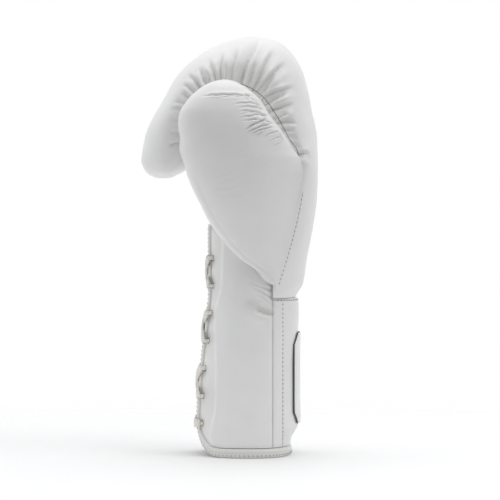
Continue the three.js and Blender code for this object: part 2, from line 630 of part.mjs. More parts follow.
// The edge tape: a rounded strip folded over the edges of the cuff, flat underneath.
function edgeTape() {
  const route = tapeRoute();
  const places = route.map(([distance, z]) => cuffPoint(distance, z, cuffWall / 2));
  const thick = cuffWall / 2 + tapeProud;
  const high = tapeHeight / 2;
  const rounding = [[-1, -0.45], [-0.55, -1], [0.55, -1], [1, -0.45]];
  const outline = [...rounding, ...rounding.map(([x, y]) => [-x, -y])];
  const rings = places.map(({ point, outward }, i) => {
    const before = places[Math.max(i - 1, 0)].point;
    const after = places[Math.min(i + 1, places.length - 1)].point;
    const run = after.clone().sub(before).normalize();
    const inwards = new THREE.Vector3().crossVectors(outward, run).normalize();
    return outline.map(([x, y]) =>
      point.clone().addScaledVector(outward, x * thick).addScaledVector(inwards, y * high));
  });
  return loft(rings).intersect(belowWrist(-clearance / 2));
}

// How far the middle of the lace lies outside the middle of the cuff's wall
const laceOverTape = cuffWall / 2 + tapeProud + 1.8 * clearance + laceThickness / 2;
const laceInSlit = laceOverTape - tapeProud; // pulled straight between the two tapes
const laceStand = cuffWall / 2 + laceThickness * 0.9; // beside an eyelet, on either face of the wall
const laceTucked = -1.5 * laceStand; // the ends inside the cuff
const laceLift = laceThickness * 1.25; // the strand that passes over the other one

// The lace starts as a bar across the lowest row and goes up both sides of the slit: straight inside
// to the next row, then across the slit outside to the row above, and so on to the top, where its
// ends are tucked inside. Each stop has its distance from the slit, its height, how far it lies
// outside the wall's middle, and how flat it is: 1 is flat, and 0 is round in an eyelet.
function laceStops(side) {
  const [outside, inside] = [laceStand, -laceStand];
  const lift = side > 0 ? laceLift : 0;
  const over = laceOverTape + lift * 0.1;
  const stops = [{ line: side * eyeletLine * 0.6, z: eyeletPlaces[0], off: laceOverTape, flat: 1 }];
  let line = side * eyeletLine;
  eyeletPlaces.forEach((z, i) => {
    const [from, to] = i % 2 === 0 ? [outside, inside] : [inside, outside];
    for (const [off, flat] of [[from, 0.1], [0, 0], [to, 0.1]]) stops.push({ line, z, off, flat });
    if (i % 2 === 0 && i < eyeletRows - 1) {
      stops.push({ line, z: z + eyeletPitch / 2, off: inside - clearance, flat: 0.9 });
    } else if (i < eyeletRows - 1) {
      const crossing = [[0.64, over], [0.34, laceInSlit + lift * 0.95], [0, laceInSlit + lift]];
      for (const [share, off] of [...crossing, [-0.34, crossing[1][1]], [-0.64, over]]) {
        stops.push({ line: line * share, z: z + (eyeletPitch * (1 - share)) / 2, off, flat: 1 });
      }
      line = -line;
    } else {
      stops.push({ line: line * 1.3, z: z - laceTail / 3, off: laceTucked, flat: 0.9 });
      stops.push({ line: line * 1.4, z: z - laceTail, off: laceTucked, flat: 0.9 });
    }
  });
  return stops;
}

function lace() {
  const bar = { line: 0, z: eyeletPlaces[0], off: laceInSlit, flat: 1 };
  const stops = [...laceStops(1).reverse(), bar, ...laceStops(-1)];
  const places = stops.map((stop) => cuffPoint(stop.line, stop.z, cuffWall / 2));
  const centres = places.map((place, i) => raised(place, stops[i].off));
  const curve = new THREE.CatmullRomCurve3(centres, false, "centripetal");
  const rings = stops.map(({ flat }, i) => {
    const { outward } = places[i];
    const run = curve.getTangent(i / (stops.length - 1));
    const aside = new THREE.Vector3(-outward.y, outward.x, 0);
    const steep = Math.abs(run.dot(outward));
    const across = new THREE.Vector3().crossVectors(outward, run).lerp(aside, smooth(steep)).normalize();
    const up = new THREE.Vector3().crossVectors(run, across).normalize();
    const width = THREE.MathUtils.lerp(laceThickness * 1.5, laceWidth, flat) / 2;
    const thick = THREE.MathUtils.lerp(laceThickness * 1.3, laceThickness, flat) / 2;
    return steps(0, 360, laceSides).slice(0, -1).map((degrees) => {
      const [c, s] = [Math.cos(degrees * radians), Math.sin(degrees * radians)];
      return centres[i].clone().addScaledVector(across, width * c).addScaledVector(up, thick * s);
    });
  });
  return loft(rings);
}

// The bare patch on the back of the cuff, bent to it, with its corners cut off.
function patch() {
  const [columns, rows] = [8, 6];
  const sheet = (lift) => steps(0, 1, rows).map((v) => {
    const rise = v * patchHeight;
    const cut = Math.max(patchCorner - Math.min(rise, patchHeight - rise), 0);
    const half = patchWidth / 2 - cut;
    return steps(-1, 1, columns).map((u) => {
      const z = patchBottom + rise;
      const round = cuffOutline(z, 0).length.at(-1);
      return raised(cuffPoint(Math.sign(u || 1) * (round - Math.abs(u) * half), z, 0), lift);
    });
  });
  const [inner, outer] = [sheet(patchSeat), sheet(patchSeat + patchThickness)];
  return loft(inner.map((row, i) => [...row, ...outer[i].slice().reverse()]));
}

const leather = { color: 0xe9e9e7, roughness: 0.42, metalness: 0 };
const cloth = { color: 0xdedbd2, roughness: 0.9, metalness: 0 };
const edging = { color: 0xdededb, roughness: 0.5, metalness: 0 };
const pieces = {
  back_pad: [backPad, leather],
  palm_panel: [palmPanel, leather],
  thumb_outer: [thumbOuter, leather],
  thumb_inner: [thumbInner, leather],
  cuff_thumb_side: [cuffFlap(-1), leather],
  cuff_little_finger_side: [cuffFlap(1), leather],
  cuff_back: [cuffBack, leather],
  edge_tape: [edgeTape(), edging],
  lace: [lace(), cloth],
  cuff_patch: [patch(), leather],
};

const glove = new THREE.Group();
for (const [name, [solid, finish]] of Object.entries(pieces)) {
  const { vertProperties, triVerts } = solid.getMesh();
  const geometry = new THREE.BufferGeometry();
  geometry.setAttribute("position", new THREE.BufferAttribute(vertProperties, 3));
  geometry.setIndex(new THREE.BufferAttribute(triVerts, 1));
  geometry.computeVertexNormals();
  const mesh = new THREE.Mesh(geometry, new THREE.MeshStandardMaterial(finish));
  mesh.name = name;
  glove.add(mesh);
}

const whole = new THREE.Box3().setFromObject(glove);
const middle = whole.getCenter(new THREE.Vector3());
glove.position.set(-middle.x, -middle.y, -whole.min.z);

export default glove;
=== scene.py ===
"""A lace-up boxing glove in white leather, standing on the hem of its cuff.

Forms are worked out in metres in the glove's own axes, whose origin is on the cuff's axis at the hem.
The palm faces -X, the back of the hand +X, the thumb is on the -Y side and the knuckles are up.
SHIFT takes these axes to the frame that the finished pieces stand in.
"""

import json
import math

import bpy
import numpy as np
from bpy.props import FloatProperty, FloatVectorProperty, IntProperty, PointerProperty
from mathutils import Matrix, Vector
from mathutils.bvhtree import BVHTree


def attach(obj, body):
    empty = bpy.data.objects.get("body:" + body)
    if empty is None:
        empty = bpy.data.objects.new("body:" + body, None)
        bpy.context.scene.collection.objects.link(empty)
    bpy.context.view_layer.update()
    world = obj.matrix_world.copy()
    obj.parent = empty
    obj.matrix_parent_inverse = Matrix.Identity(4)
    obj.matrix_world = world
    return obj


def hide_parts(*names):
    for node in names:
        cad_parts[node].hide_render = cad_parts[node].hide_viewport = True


bl_info = {
    "name": "Lace-Up Boxing Glove",
    "version": (1, 0, 0),
    "blender": (4, 5, 0),
    "location": "3D View > Sidebar > Glove",
    "description": "Builds a padded leather boxing glove with a laced cuff, piece by piece",
    "category": "Add Mesh",
}

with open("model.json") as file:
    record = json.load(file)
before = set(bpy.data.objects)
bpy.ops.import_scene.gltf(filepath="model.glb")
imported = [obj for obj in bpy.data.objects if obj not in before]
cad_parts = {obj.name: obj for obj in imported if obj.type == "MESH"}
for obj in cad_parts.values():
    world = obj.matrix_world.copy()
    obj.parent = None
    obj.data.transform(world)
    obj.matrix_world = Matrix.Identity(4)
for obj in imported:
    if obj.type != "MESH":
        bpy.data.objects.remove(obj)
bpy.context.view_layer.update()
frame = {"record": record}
BODY = "root"

# The flat under the hem, where the glove rests, is this far behind the cuff's axis.
HEM_SEAT = 0.0293
SEAT = frame["record"]["mounts"][0]["pos_m"]
SHIFT = np.array([SEAT[0] - HEM_SEAT, SEAT[1], 0.0])

# Sections of the cuff. level is a share of the cuff's length above the hem, palm and back are shares of
# its depth on each side of the axis, and half is a share of its width.
CUFF = (
    "level palm back half",
    (-0.1, 0.545, 0.425, 0.47),
    (0, 0.545, 0.425, 0.475),
    (0.1, 0.55, 0.43, 0.485),
    (0.15, 0.555, 0.475, 0.488),
    (0.19, 0.56, 0.5, 0.49),
    (0.33, 0.555, 0.495, 0.495),
    (0.48, 0.532, 0.493, 0.5),
    (0.68, 0.5, 0.494, 0.5),
    (0.84, 0.465, 0.505, 0.495),
    (0.95, 0.447, 0.51, 0.49),
    (1, 0.437, 0.5, 0.485),
    (1.15, 0.434, 0.49, 0.495),
    (1.35, 0.436, 0.46, 0.51),
    (1.6, 0.436, 0.45, 0.52),
)

# Dents in the cuff's leather. turn is the place round the cuff in degrees from its back, negative
# towards the thumb. level and high are shares of the cuff's length, and deep of its wall.
CUFF_DENTS = (
    "turn level wide high deep",
    (-72, 0.935, 11, 0.028, 0.42),
    (-88, 0.88, 12, 0.05, 0.2),
    (-38, 1.02, 14, 0.03, 0.15),
)

# Small folds of the thumb-side flap under the wrist. x is a share of the cuff's depth, level of its
# length, wide of its depth and deep of its wall.
CUFF_FOLDS = (
    "x level to_x to_level wide deep",
    (-0.06, 0.99, 0.2, 0.915, 0.12, 0.24),
    (0.06, 0.93, 0.235, 0.9, 0.03, 0.36),
    (0.04, 1.07, 0.235, 1.0, 0.014, 0.16),
    (-0.04, 1.11, 0.22, 1.05, 0.013, 0.14),
    (0.08, 1.03, 0.235, 0.965, 0.014, 0.12),
    (0.08, 0.865, 0.23, 0.872, 0.03, 0.05),
)

# Sections of the mitt. along is 0 at the wrist seam and 1 level with the centre of the curl, and it
# gains one more with each quarter turn round that centre. seam, outer and inner are distances from
# the centre as shares of the mitt's depth: the side seams, the padded back and the palm leather. half
# is a share of its width.
MITT = (
    "along seam outer inner half",
    (-0.2, 0.187, 0.395, -0.094, 0.358),
    (0, 0.221, 0.403, -0.094, 0.362),
    (0.09, 0.238, 0.441, -0.094, 0.375),
    (0.24, 0.277, 0.463, -0.094, 0.405),
    (0.44, 0.323, 0.497, -0.092, 0.445),
    (0.64, 0.375, 0.52, -0.044, 0.478),
    (0.81, 0.41, 0.525, 0.008, 0.493),
    (0.9, 0.402, 0.523, 0.03, 0.497),
    (1, 0.348, 0.52, 0.062, 0.5),
    (1.167, 0.315, 0.515, 0.062, 0.502),
    (1.333, 0.301, 0.543, 0.062, 0.504),
    (1.5, 0.3, 0.595, 0.062, 0.504),
    (1.667, 0.299, 0.628, 0.062, 0.503),
    (1.833, 0.297, 0.601, 0.062, 0.502),
    (2, 0.292, 0.546, 0.062, 0.5),
    (2.333, 0.278, 0.463, 0.068, 0.489),
    (2.667, 0.262, 0.413, 0.079, 0.47),
    (3, 0.235, 0.453, 0.136, 0.448),
    (3.167, 0.225, 0.49, 0.204, 0.426),
)

# Sections of the hollow for the hand, in the same way, with half as a share of the hand's width.
POCKET = (
    "along outer inner half",
    (-0.2, 0.323, -0.017, 0.46),
    (0.09, 0.351, -0.006, 0.47),
    (0.24, 0.362, 0.011, 0.48),
    (0.44, 0.374, 0.028, 0.49),
    (0.64, 0.393, 0.065, 0.5),
    (0.81, 0.408, 0.13, 0.5),
    (1, 0.39, 0.17, 0.5),
    (1.333, 0.345, 0.147, 0.5),
    (1.667, 0.328, 0.141, 0.49),
    (2, 0.322, 0.136, 0.48),
    (2.333, 0.31, 0.136, 0.47),
    (2.667, 0.298, 0.147, 0.45),
    (3, 0.285, 0.185, 0.39),
    (3.167, 0.27, 0.25, 0.2),
)

# Gathers of the padded back on the thumb's side. along is where each crease meets the seam, lean is
# how far it has moved along at the crown, reach is its length as a share of the pad's height, and deep
# and wide are shares of the mitt's width.
THUMB_SIDE_GATHERS = (
    "along lean reach deep wide",
    (0.885, 0.01, 0.6, 0.019, 0.014),
    (1.0, -0.02, 0.3, 0.008, 0.011),
    (1.06, -0.03, 0.3, 0.01, 0.01),
    (1.13, -0.03, 0.42, 0.015, 0.012),
    (1.2, 0.03, 0.32, 0.014, 0.01),
    (1.31, -0.08, 0.55, 0.017, 0.013),
    (1.39, 0, 0.52, 0.023, 0.012),
    (1.475, -0.13, 0.7, 0.018, 0.013),
    (1.525, 0.08, 0.48, 0.014, 0.01),
    (1.585, -0.03, 0.78, 0.019, 0.013),
    (1.65, 0.03, 0.85, 0.02, 0.014),
    (1.73, 0.03, 0.5, 0.013, 0.012),
    (1.81, -0.02, 1, 0.022, 0.017),
    (1.91, 0.015, 0.76, 0.018, 0.014),
    (1.975, 0.02, 0.45, 0.011, 0.01),
    (2.04, -0.03, 0.7, 0.019, 0.012),
    (2.1, 0.03, 0.68, 0.018, 0.012),
    (2.16, 0.04, 0.45, 0.013, 0.01),
    (2.22, 0.01, 0.6, 0.018, 0.011),
    (2.29, 0.07, 0.68, 0.019, 0.012),
    (2.38, 0.1, 0.55, 0.014, 0.012),
    (2.47, 0.1, 0.4, 0.009, 0.011),
    (2.56, 0.12, 0.5, 0.008, 0.01),
    (2.64, 0.12, 0.5, 0.009, 0.01),
    (2.78, 0.1, 0.35, 0.007, 0.012),
    (2.95, 0.04, 0.3, 0.009, 0.012),
    (3.1, 0.02, 0.35, 0.014, 0.012),
)

# The gathers on the little finger's side, in the same way.
FAR_SIDE_GATHERS = (
    "along lean reach deep wide",
    (0.9, -0.03, 0.45, 0.014, 0.012),
    (1.04, -0.04, 0.4, 0.011, 0.012),
    (1.17, -0.07, 0.5, 0.016, 0.013),
    (1.26, -0.04, 0.4, 0.014, 0.011),
    (1.36, -0.1, 0.6, 0.019, 0.013),
    (1.46, 0.02, 0.55, 0.017, 0.012),
    (1.57, -0.07, 0.7, 0.02, 0.014),
    (1.65, -0.06, 0.5, 0.013, 0.011),
    (1.74, -0.03, 0.85, 0.021, 0.015),
    (1.84, -0.05, 0.6, 0.016, 0.012),
    (1.93, 0, 0.75, 0.019, 0.014),
    (2.03, -0.02, 0.5, 0.015, 0.011),
    (2.12, 0.04, 0.7, 0.019, 0.013),
    (2.21, 0.08, 0.5, 0.014, 0.011),
    (2.31, 0.12, 0.6, 0.017, 0.013),
    (2.43, 0.08, 0.45, 0.013, 0.012),
    (2.58, 0.05, 0.5, 0.013, 0.012),
    (2.75, 0.02, 0.4, 0.011, 0.012),
    (2.92, 0, 0.4, 0.012, 0.012),
    (3.06, -0.03, 0.4, 0.012, 0.012),
)

# Sections of the thumb, level as a share of its length above the leaf's point. mid and half are shares
# of its width along X, axis is the widest line's distance from the centre plane, and front and rear
# are how far the section swells on each side of it, all three as shares of the thumb's reach. blend is
# the squareness of the edge that runs out into the back of the hand, and heel that of the hand's side.
THUMB = (
    "level mid half axis front rear blend heel",
    (0, 0.22, 0.024, 0.472, 0.019, 0.12, 1.3, 5),
    (0.03, 0.187, 0.07, 0.476, 0.034, 0.13, 1.3, 5),
    (0.064, 0.168, 0.099, 0.481, 0.047, 0.14, 1.3, 5),
    (0.137, 0.097, 0.205, 0.495, 0.094, 0.17, 1.3, 5),
    (0.234, 0.043, 0.307, 0.519, 0.16, 0.245, 1.3, 3.6),
    (0.322, 0.006, 0.379, 0.547, 0.212, 0.283, 1.3, 2.8),
    (0.38, -0.009, 0.415, 0.566, 0.241, 0.302, 1.3, 2.4),
    (0.477, -0.033, 0.473, 0.594, 0.283, 0.311, 1.3, 2.4),
    (0.563, -0.05, 0.514, 0.613, 0.316, 0.311, 1.35, 2.4),
    (0.62, -0.079, 0.517, 0.632, 0.33, 0.292, 1.5, 2.4),
    (0.665, -0.116, 0.5, 0.651, 0.33, 0.283, 1.7, 2.4),
    (0.713, -0.14, 0.471, 0.675, 0.321, 0.264, 1.9, 2.4),
    (0.761, -0.176, 0.446, 0.698, 0.307, 0.245, 2.1, 2.4),
    (0.809, -0.212, 0.412, 0.717, 0.288, 0.236, 2.2, 2.4),
    (0.857, -0.23, 0.37, 0.736, 0.259, 0.226, 2.2, 2.4),
    (0.904, -0.227, 0.312, 0.745, 0.226, 0.208, 2.2, 2.4),
    (0.943, -0.23, 0.24, 0.75, 0.179, 0.17, 2.2, 2.4),
    (0.971, -0.229, 0.169, 0.755, 0.132, 0.127, 2.2, 2.4),
    (0.992, -0.22, 0.09, 0.755, 0.071, 0.071, 2.2, 2.4),
    (1, -0.217, 0.03, 0.755, 0.028, 0.028, 2.2, 2.4),
)

# The hollow of the thumb. level is a share of the thumb's length, mid of its width, axis of its reach
# and bore of the inside diameter.
STALL = (
    "level mid axis bore",
    (0.2, 0.1, 0.3, 0.9),
    (0.38, 0.03, 0.44, 1.05),
    (0.56, -0.08, 0.585, 1),
    (0.72, -0.17, 0.69, 0.95),
    (0.84, -0.21, 0.74, 0.85),
    (0.88, -0.215, 0.745, 0.55),
)

# Creases on the outer face of the thumb, each from one place to another. x is a share of the thumb's
# width and level of its length, bow is how far its middle bends up, wide is a share of the thumb's
# width and deep of the cuff's wall.
THUMB_CREASES = (
    "x level to_x to_level bow wide deep",
    (-0.42, 0.912, 0.02, 0.914, 0.006, 0.011, 0.2),
    (-0.3, 0.905, -0.04, 0.906, 0.003, 0.01, 0.07),
    (-0.08, 0.935, 0.1, 0.85, 0.012, 0.013, 0.12),
    (-0.02, 0.93, 0.07, 0.878, 0.008, 0.01, 0.07),
    (-0.14, 0.868, 0.08, 0.872, 0.01, 0.01, 0.12),
    (-0.1, 0.852, 0.11, 0.85, 0.01, 0.009, 0.09),
    (-0.09, 0.835, 0.15, 0.815, 0.012, 0.011, 0.14),
    (-0.1, 0.82, 0.08, 0.822, 0.008, 0.008, 0.08),
    (-0.08, 0.803, 0.15, 0.822, 0.007, 0.01, 0.13),
    (-0.07, 0.787, 0.2, 0.782, 0.014, 0.011, 0.14),
    (-0.02, 0.776, 0.15, 0.79, 0.006, 0.008, 0.09),
    (-0.05, 0.745, 0.14, 0.803, 0.004, 0.011, 0.22),
    (-0.03, 0.731, 0.17, 0.778, 0.006, 0.01, 0.18),
    (0.0, 0.722, 0.2, 0.765, 0.008, 0.01, 0.15),
    (0.05, 0.718, 0.13, 0.745, 0.004, 0.008, 0.11),
    (0.12, 0.712, 0.25, 0.748, 0.006, 0.01, 0.14),
    (0.16, 0.69, 0.26, 0.718, 0.005, 0.009, 0.1),
    (0.2, 0.672, 0.28, 0.695, 0.003, 0.008, 0.07),
    (0.25, 0.748, 0.28, 0.7, 0.002, 0.009, 0.1),
    (0.22, 0.76, 0.25, 0.715, 0.002, 0.008, 0.07),
    (-0.44, 0.505, 0.2, 0.65, -0.02, 0.013, 0.022),
    (-0.38, 0.49, 0.12, 0.575, -0.015, 0.012, 0.02),
    (-0.42, 0.46, 0.05, 0.505, -0.01, 0.012, 0.022),
    (-0.3, 0.44, 0.05, 0.45, -0.006, 0.012, 0.018),
    (-0.2, 0.545, 0.22, 0.61, -0.01, 0.012, 0.016),
    (-0.15, 0.62, 0.25, 0.66, -0.008, 0.012, 0.014),
)

# The soft ridge where the padding of the flaps ends beside the eyelets. level is a share of the cuff's
# length and x of its depth.
PADDING_RIDGE = (
    "level x",
    (0.05, -0.42),
    (0.18, -0.395),
    (0.3, -0.355),
    (0.55, -0.345),
    (0.87, -0.365),
    (1.1, -0.29),
    (1.5, -0.27),
)

# The stitched seam down the back edge of the thumb, x as a share of the thumb's width and z of its
# length above the wrist seam.
THUMB_SEAM = (
    "x z",
    (0.462, 0.52),
    (0.447, 0.465),
    (0.418, 0.385),
    (0.38, 0.3),
    (0.335, 0.21),
    (0.295, 0.135),
    (0.262, 0.075),
)

# How square the sections are: 2 is an ellipse, and larger is squarer.
PAD_SQUARENESS, PALM_SQUARENESS, POCKET_SQUARENESS = 2.12, 3, 2.5
CUFF_SQUARENESS = THUMB_SQUARENESS = FINGER_END_SQUARENESS = 2.4
OUTLINE_STEPS = 120
REACH = 3.0  # how far a cutting form runs on past the glove, as a share of the mitt's depth
STEADY_WAVES = 14  # waves added up in the leather's soft unevenness

# Unevenness of the stretched leather, in metres: height and length of its lumps, then of its finer waves.
BACK_LUMPS = (0.00014, 0.034, 0.00005, 0.012)
PALM_LUMPS = (0.00014, 0.03, 0.00006, 0.011)
THUMB_LUMPS = (0.00012, 0.03, 0.00004, 0.01)
CUFF_LUMPS = (0.00012, 0.04, 0.00004, 0.012)

# Depth or height and width, in metres, of the lines that follow seams and edges.
WRIST_DIP = (0.0008, 0.0022)
CUFF_TOP_DIP = (0.0007, 0.002)
SIDE_SEAM_DIP = (0.0008, 0.0011)
STITCH_DIP = (0.0003, 0.0007)
TAPE_TUCK = (0.0007, 0.0022)
PADDING_ROLL = (0.0005, 0.0022)
WELT = (0.00035, 0.0008)
WELT_DIP = (0.0005, 0.0022)
WELT_PLACE, WELT_DIP_PLACE = 0.0062, 0.0032  # from the thumb's lower edge
PATCH_RIM = (0.00035, 0.0007)
PATCH_RIM_PLACE = 0.0026  # from the patch's edge
PATCH_BEVEL = 0.0006
THUMB_SEAM_DIP = 0.0006
EYELET_STRIP = 0.0011  # how far the strip beside the eyelets lies below the padding

# How deep a fold is, in metres, where the painted shade in it is darkest.
GATHER_FULL, CREASE_FULL, SHALLOW_FULL = 0.0032, 0.0009, 0.0012

# A gather's width over the table's, how much steeper one of its sides is, and how high the padding
# swells beside it as a share of its depth.
GATHER_WIDTH, GATHER_TILT, GATHER_SWELL = 0.85, 0.35, 0.3
# Least and most depth, width (both in metres) and reach of the short puckers between the gathers.
PUCKER_DEEP, PUCKER_WIDE, PUCKER_REACH = (0.0004, 0.001), (0.0006, 0.001), (0.14, 0.34)
VALLEY = (0.065, 18)  # of a section beside its seam: share of the width, and degrees
CREASE_DEPTH, CREASE_SHOULDER = 1.3, 0.35

LAP_HEIGHT = 0.0004  # of the thumb's leather over the back's, where its edge rests on it
LAP_EASE = 0.003
LAP_TOP, LAP_FADE = 0.243, 0.014

# Length of a stitch and of a needle hole, a dark bead of painted shade, as shares of the pitch, and
# their half thicknesses as shares of the thread's.
STITCH_SHAPES = {"Thread": (0.34, 0.5), "Hole": (0.14, 0.56)}

# Grain of the leather: how many fit in a metre.
PEBBLES, PORES, FINE_CREASES, CLOUDS = 1150, 2600, 150, 38
BRAID_PITCH = 0.0017  # from one strand of the lace to the next

CAMERA_LENS, CAMERA_SENSOR = 158.98, 36  # millimetres
CAMERA_DISTANCE, CAMERA_HEIGHT = 1.75, 0.1608
FLOOR_RADIUS, FLOOR_SOLID, FLOOR_GONE = 1.6, 0.16, 0.7

# Strength of the light from the right, from behind and from above, then from the left, in front and
# below.
LIGHT_PLUS, LIGHT_MINUS = np.array([0.55, 1.05, 1.35]), np.array([0.88, 0.16, 0.15])
LAMP_TARGET, LAMP_WIDTH = (0, 0, 0.18), 0.6
LAMPS = {
    "key_light": ((0.8, -0.5, 1), 2.2),
    "front_light": ((0.15, -0.8, 1.3), 0.8),
    "top_light": ((0, 0.1, 1.5), 1),
}


def length(name, description, default):
    return FloatProperty(name=name, description=description, default=default, unit="LENGTH", precision=5)


def share(name, description, default):
    return FloatProperty(name=name, description=description, default=default, min=0.0)


def colour(name, description, default):
    return FloatVectorProperty(
        name=name, description=description, default=default, subtype="COLOR", min=0.0, max=1.0
    )


class GloveSizes(bpy.types.PropertyGroup):
    """Sizes of the glove"""

    cuff_length: length("Cuff length", "Hem to the wrist seam on the back of the hand", 0.1235)
    cuff_depth: length("Cuff depth", "Palm side to back", 0.076)
    cuff_width: length("Cuff width", "Thumb side to little-finger side", 0.1)
    cuff_wall: length("Cuff wall", "Leather over thin padding", 0.006)
    stitch_inset: length("Stitch inset", "Stitches behind the cuff's side seam", 0.0078)
    side_seam: length("Side seam", "Where the side panels meet the back panel, behind the axis", 0.0176)
    wrist_step: length("Wrist step", "The wrist seam starts its climb this far above the back seam", 0.0105)
    wrist_slope: share("Wrist slope", "Rise of that climb for each metre towards the palm", 0.945)
    palm_top: length("Palm top", "The climb ends this far in front of the axis", 0.034)
    hand_length: length("Hand length", "Wrist seam to the centre that the fingers curl round", 0.1245)
    curl_x: length("Curl centre", "Place of that centre along X", -0.0198)
    mitt_depth: length("Mitt depth", "Fingertip roll to the back of the hand", 0.14)
    mitt_width: length("Mitt width", "Across the knuckles", 0.136)
    hand_width: length("Hand width", "Inside, across the four fingers", 0.092)
    finger_roll: length("Finger roll", "Length of the rounded end over the fingertips", 0.0165)
    side_round: length("Side round", "How far the sides draw in round that end", 0.024)
    thumb_length: length("Thumb length", "Leaf point at the wrist to the tip", 0.1555)
    thumb_base: length("Thumb base", "Leaf point above the wrist seam", 0.0105)
    thumb_width: length("Thumb width", "Across the leaf at its widest", 0.087)
    thumb_reach: length("Thumb reach", "Centre plane to the outermost leather of the thumb", 0.106)
    thumb_bore: length("Thumb bore", "Inside diameter of the thumb", 0.032)
    seam_gap: length("Seam gap", "Between the padded back and the palm leather", 0.0004)
    clearance: length("Clearance", "Between pieces that touch", 0.0003)


class GloveTrim(bpy.types.PropertyGroup):
    """Sizes of the lacing, edge tape, patch and stitches"""

    slit_gap: length("Slit gap", "Between the taped edges of the palm slit", 0.026)
    tape_height: length("Tape height", "How much of an edge the tape covers", 0.0075)
    tape_proud: length("Tape proud", "How far the tape stands out of the leather", 0.0008)
    corner_radius: length("Corner radius", "Rounded lower corners of the flaps", 0.026)
    eyelet_rows: IntProperty(name="Eyelet rows", description="Eyelets on each flap", default=7, min=2)
    eyelet_pitch: length("Eyelet pitch", "Between rows, along the slit", 0.0215)
    eyelet_first: length("First eyelet", "Lowest row above the hem", 0.0255)
    eyelet_inset: length("Eyelet inset", "Eyelets from the leather's edge beside the tape", 0.005)
    eyelet_diameter: length("Eyelet diameter", "Width of each eyelet", 0.005)
    lace_width: length("Lace width", "Width of the flat braid", 0.0076)
    lace_thickness: length("Lace thickness", "Thickness of the braid", 0.0023)
    lace_tail: length("Lace tail", "Tucked end left inside the cuff", 0.034)
    patch_width: length("Patch width", "Round the back of the cuff", 0.057)
    patch_height: length("Patch height", "Along the cuff", 0.071)
    patch_bottom: length("Patch bottom", "Above the hem", 0.025)
    patch_thickness: length("Patch thickness", "Thickness of the patch", 0.0018)
    patch_corner: length("Patch corner", "Cut off each corner", 0.009)
    patch_seat: length("Patch seat", "Under the patch, where it bends over the cuff", 0.0005)
    stitch_pitch: length("Stitch pitch", "From one stitch to the next", 0.0034)
    thread: length("Thread", "Thickness of the sewing thread", 0.0008)


class GloveLook(bpy.types.PropertyGroup):
    """Colours of the glove"""

    leather: colour("Leather", "White leather", (0.8, 0.8, 0.79))
    # painted shade: blended into the leather by the fold mark, darkest deep in gathers, creases and seam
    # dips
    crease_shade: colour("Painted crease shade", "Leather deep in folds and along seams", (0.62, 0.62, 0.6))
    tape: colour("Tape", "Thin leather folded over the edges", (0.74, 0.74, 0.72))
    lace: colour("Lace", "Off-white braid", (0.9, 0.87, 0.82))
    lace_shade: colour("Lace shade", "Between the strands of the braid", (0.74, 0.71, 0.65))
    patch: colour("Patch", "Face of the bare patch", (0.82, 0.82, 0.81))
    patch_edge: colour("Patch edge", "Cut edge of the patch", (0.1, 0.1, 0.105))
    thread: colour("Thread", "Sewing thread", (0.7, 0.7, 0.69))
    # the needle holes are dark beads of painted shade between the stitches
    needle_hole: colour("Needle hole shade", "Holes between the stitches", (0.12, 0.12, 0.12))
    floor: colour("Floor", "Pale floor", (0.9, 0.9, 0.9))


# Curves and numbers


def read_rows(table, key, places):
    """Each column of a table at many places, on a smooth curve without overshoot."""
    values = np.array(table[1:], float).T
    columns = dict(zip(table[0].split(), values))
    x = columns[key]
    at = np.clip(places, x[0], x[-1])
    i = np.clip(np.searchsorted(x, at) - 1, 0, len(x) - 2)
    span = x[i + 1] - x[i]
    t = (at - x[i]) / span
    found = {}
    for name, y in columns.items():
        slope = np.diff(y) / np.diff(x)
        before, after = slope[:-1], slope[1:]
        total = np.where(before + after == 0, 1, before + after)
        middle = np.where(before * after > 0, 2 * before * after / total, 0)
        tangent = np.concatenate([slope[:1], middle, slope[-1:]])
        found[name] = (
            (1 + 2 * t) * (1 - t) ** 2 * y[i]
            + t * (1 - t) ** 2 * span * tangent[i]
            + t * t * (3 - 2 * t) * y[i + 1]
            + t * t * (t - 1) * span * tangent[i + 1]
        )
    return found


def records(table):
    """The rows of a table, each with its columns by name."""
    return [dict(zip(table[0].split(), row)) for row in table[1:]]


def bent(value, power):
    return np.sign(value) * np.abs(value) ** power


def smooth(t):
    t = np.clip(t, 0, 1)
    return t * t * (3 - 2 * t)


def bell(x):
    return np.exp(-x * x)


def mix(a, b, t):
    return a + (b - a) * t


def unit(vectors):
    return vectors / np.maximum(np.linalg.norm(vectors, axis=-1, keepdims=True), 1e-12)


def dot(a, b):
    return (a * b).sum(-1)


def cos_sin(degrees):
    turn = np.radians(degrees)
    return np.cos(turn), np.sin(turn)


def all_round(count):
    """Degrees once round in equal steps, as a row."""
    return np.linspace(0, 360, count, endpoint=False)[None, :]


def signed(degrees):
    """Degrees from the cuff's back, negative towards the thumb."""
    return np.where(degrees > 180, degrees - 360, degrees)


def length_along(points):
    """How far along a line its points lie, as a column."""
    step = np.linalg.norm(np.diff(points, axis=0), axis=-1)
    return np.concatenate([[0], np.cumsum(step)])[:, None]


def crease_ends(row, wide, high, foot=0.0):
    """Both ends of a crease, from its row in a table."""
    return (
        (row["x"] * wide, foot + row["level"] * high),
        (row["to_x"] * wide, foot + row["to_level"] * high),
    )


def spread(x, y, z):
    """Points from their coordinates, which may be numbers, rows or columns."""
    return np.stack(np.broadcast_arrays(x, y, z), -1)


def soft_line(away, size):
    """A rounded rise or dip along a line, by the distance from it, with its height and width."""
    return size[0] * bell(away / size[1])


def sharp_line(away, size):
    """The same with a crease along its middle."""
    return size[0] * np.exp(-np.abs(away) / size[1])


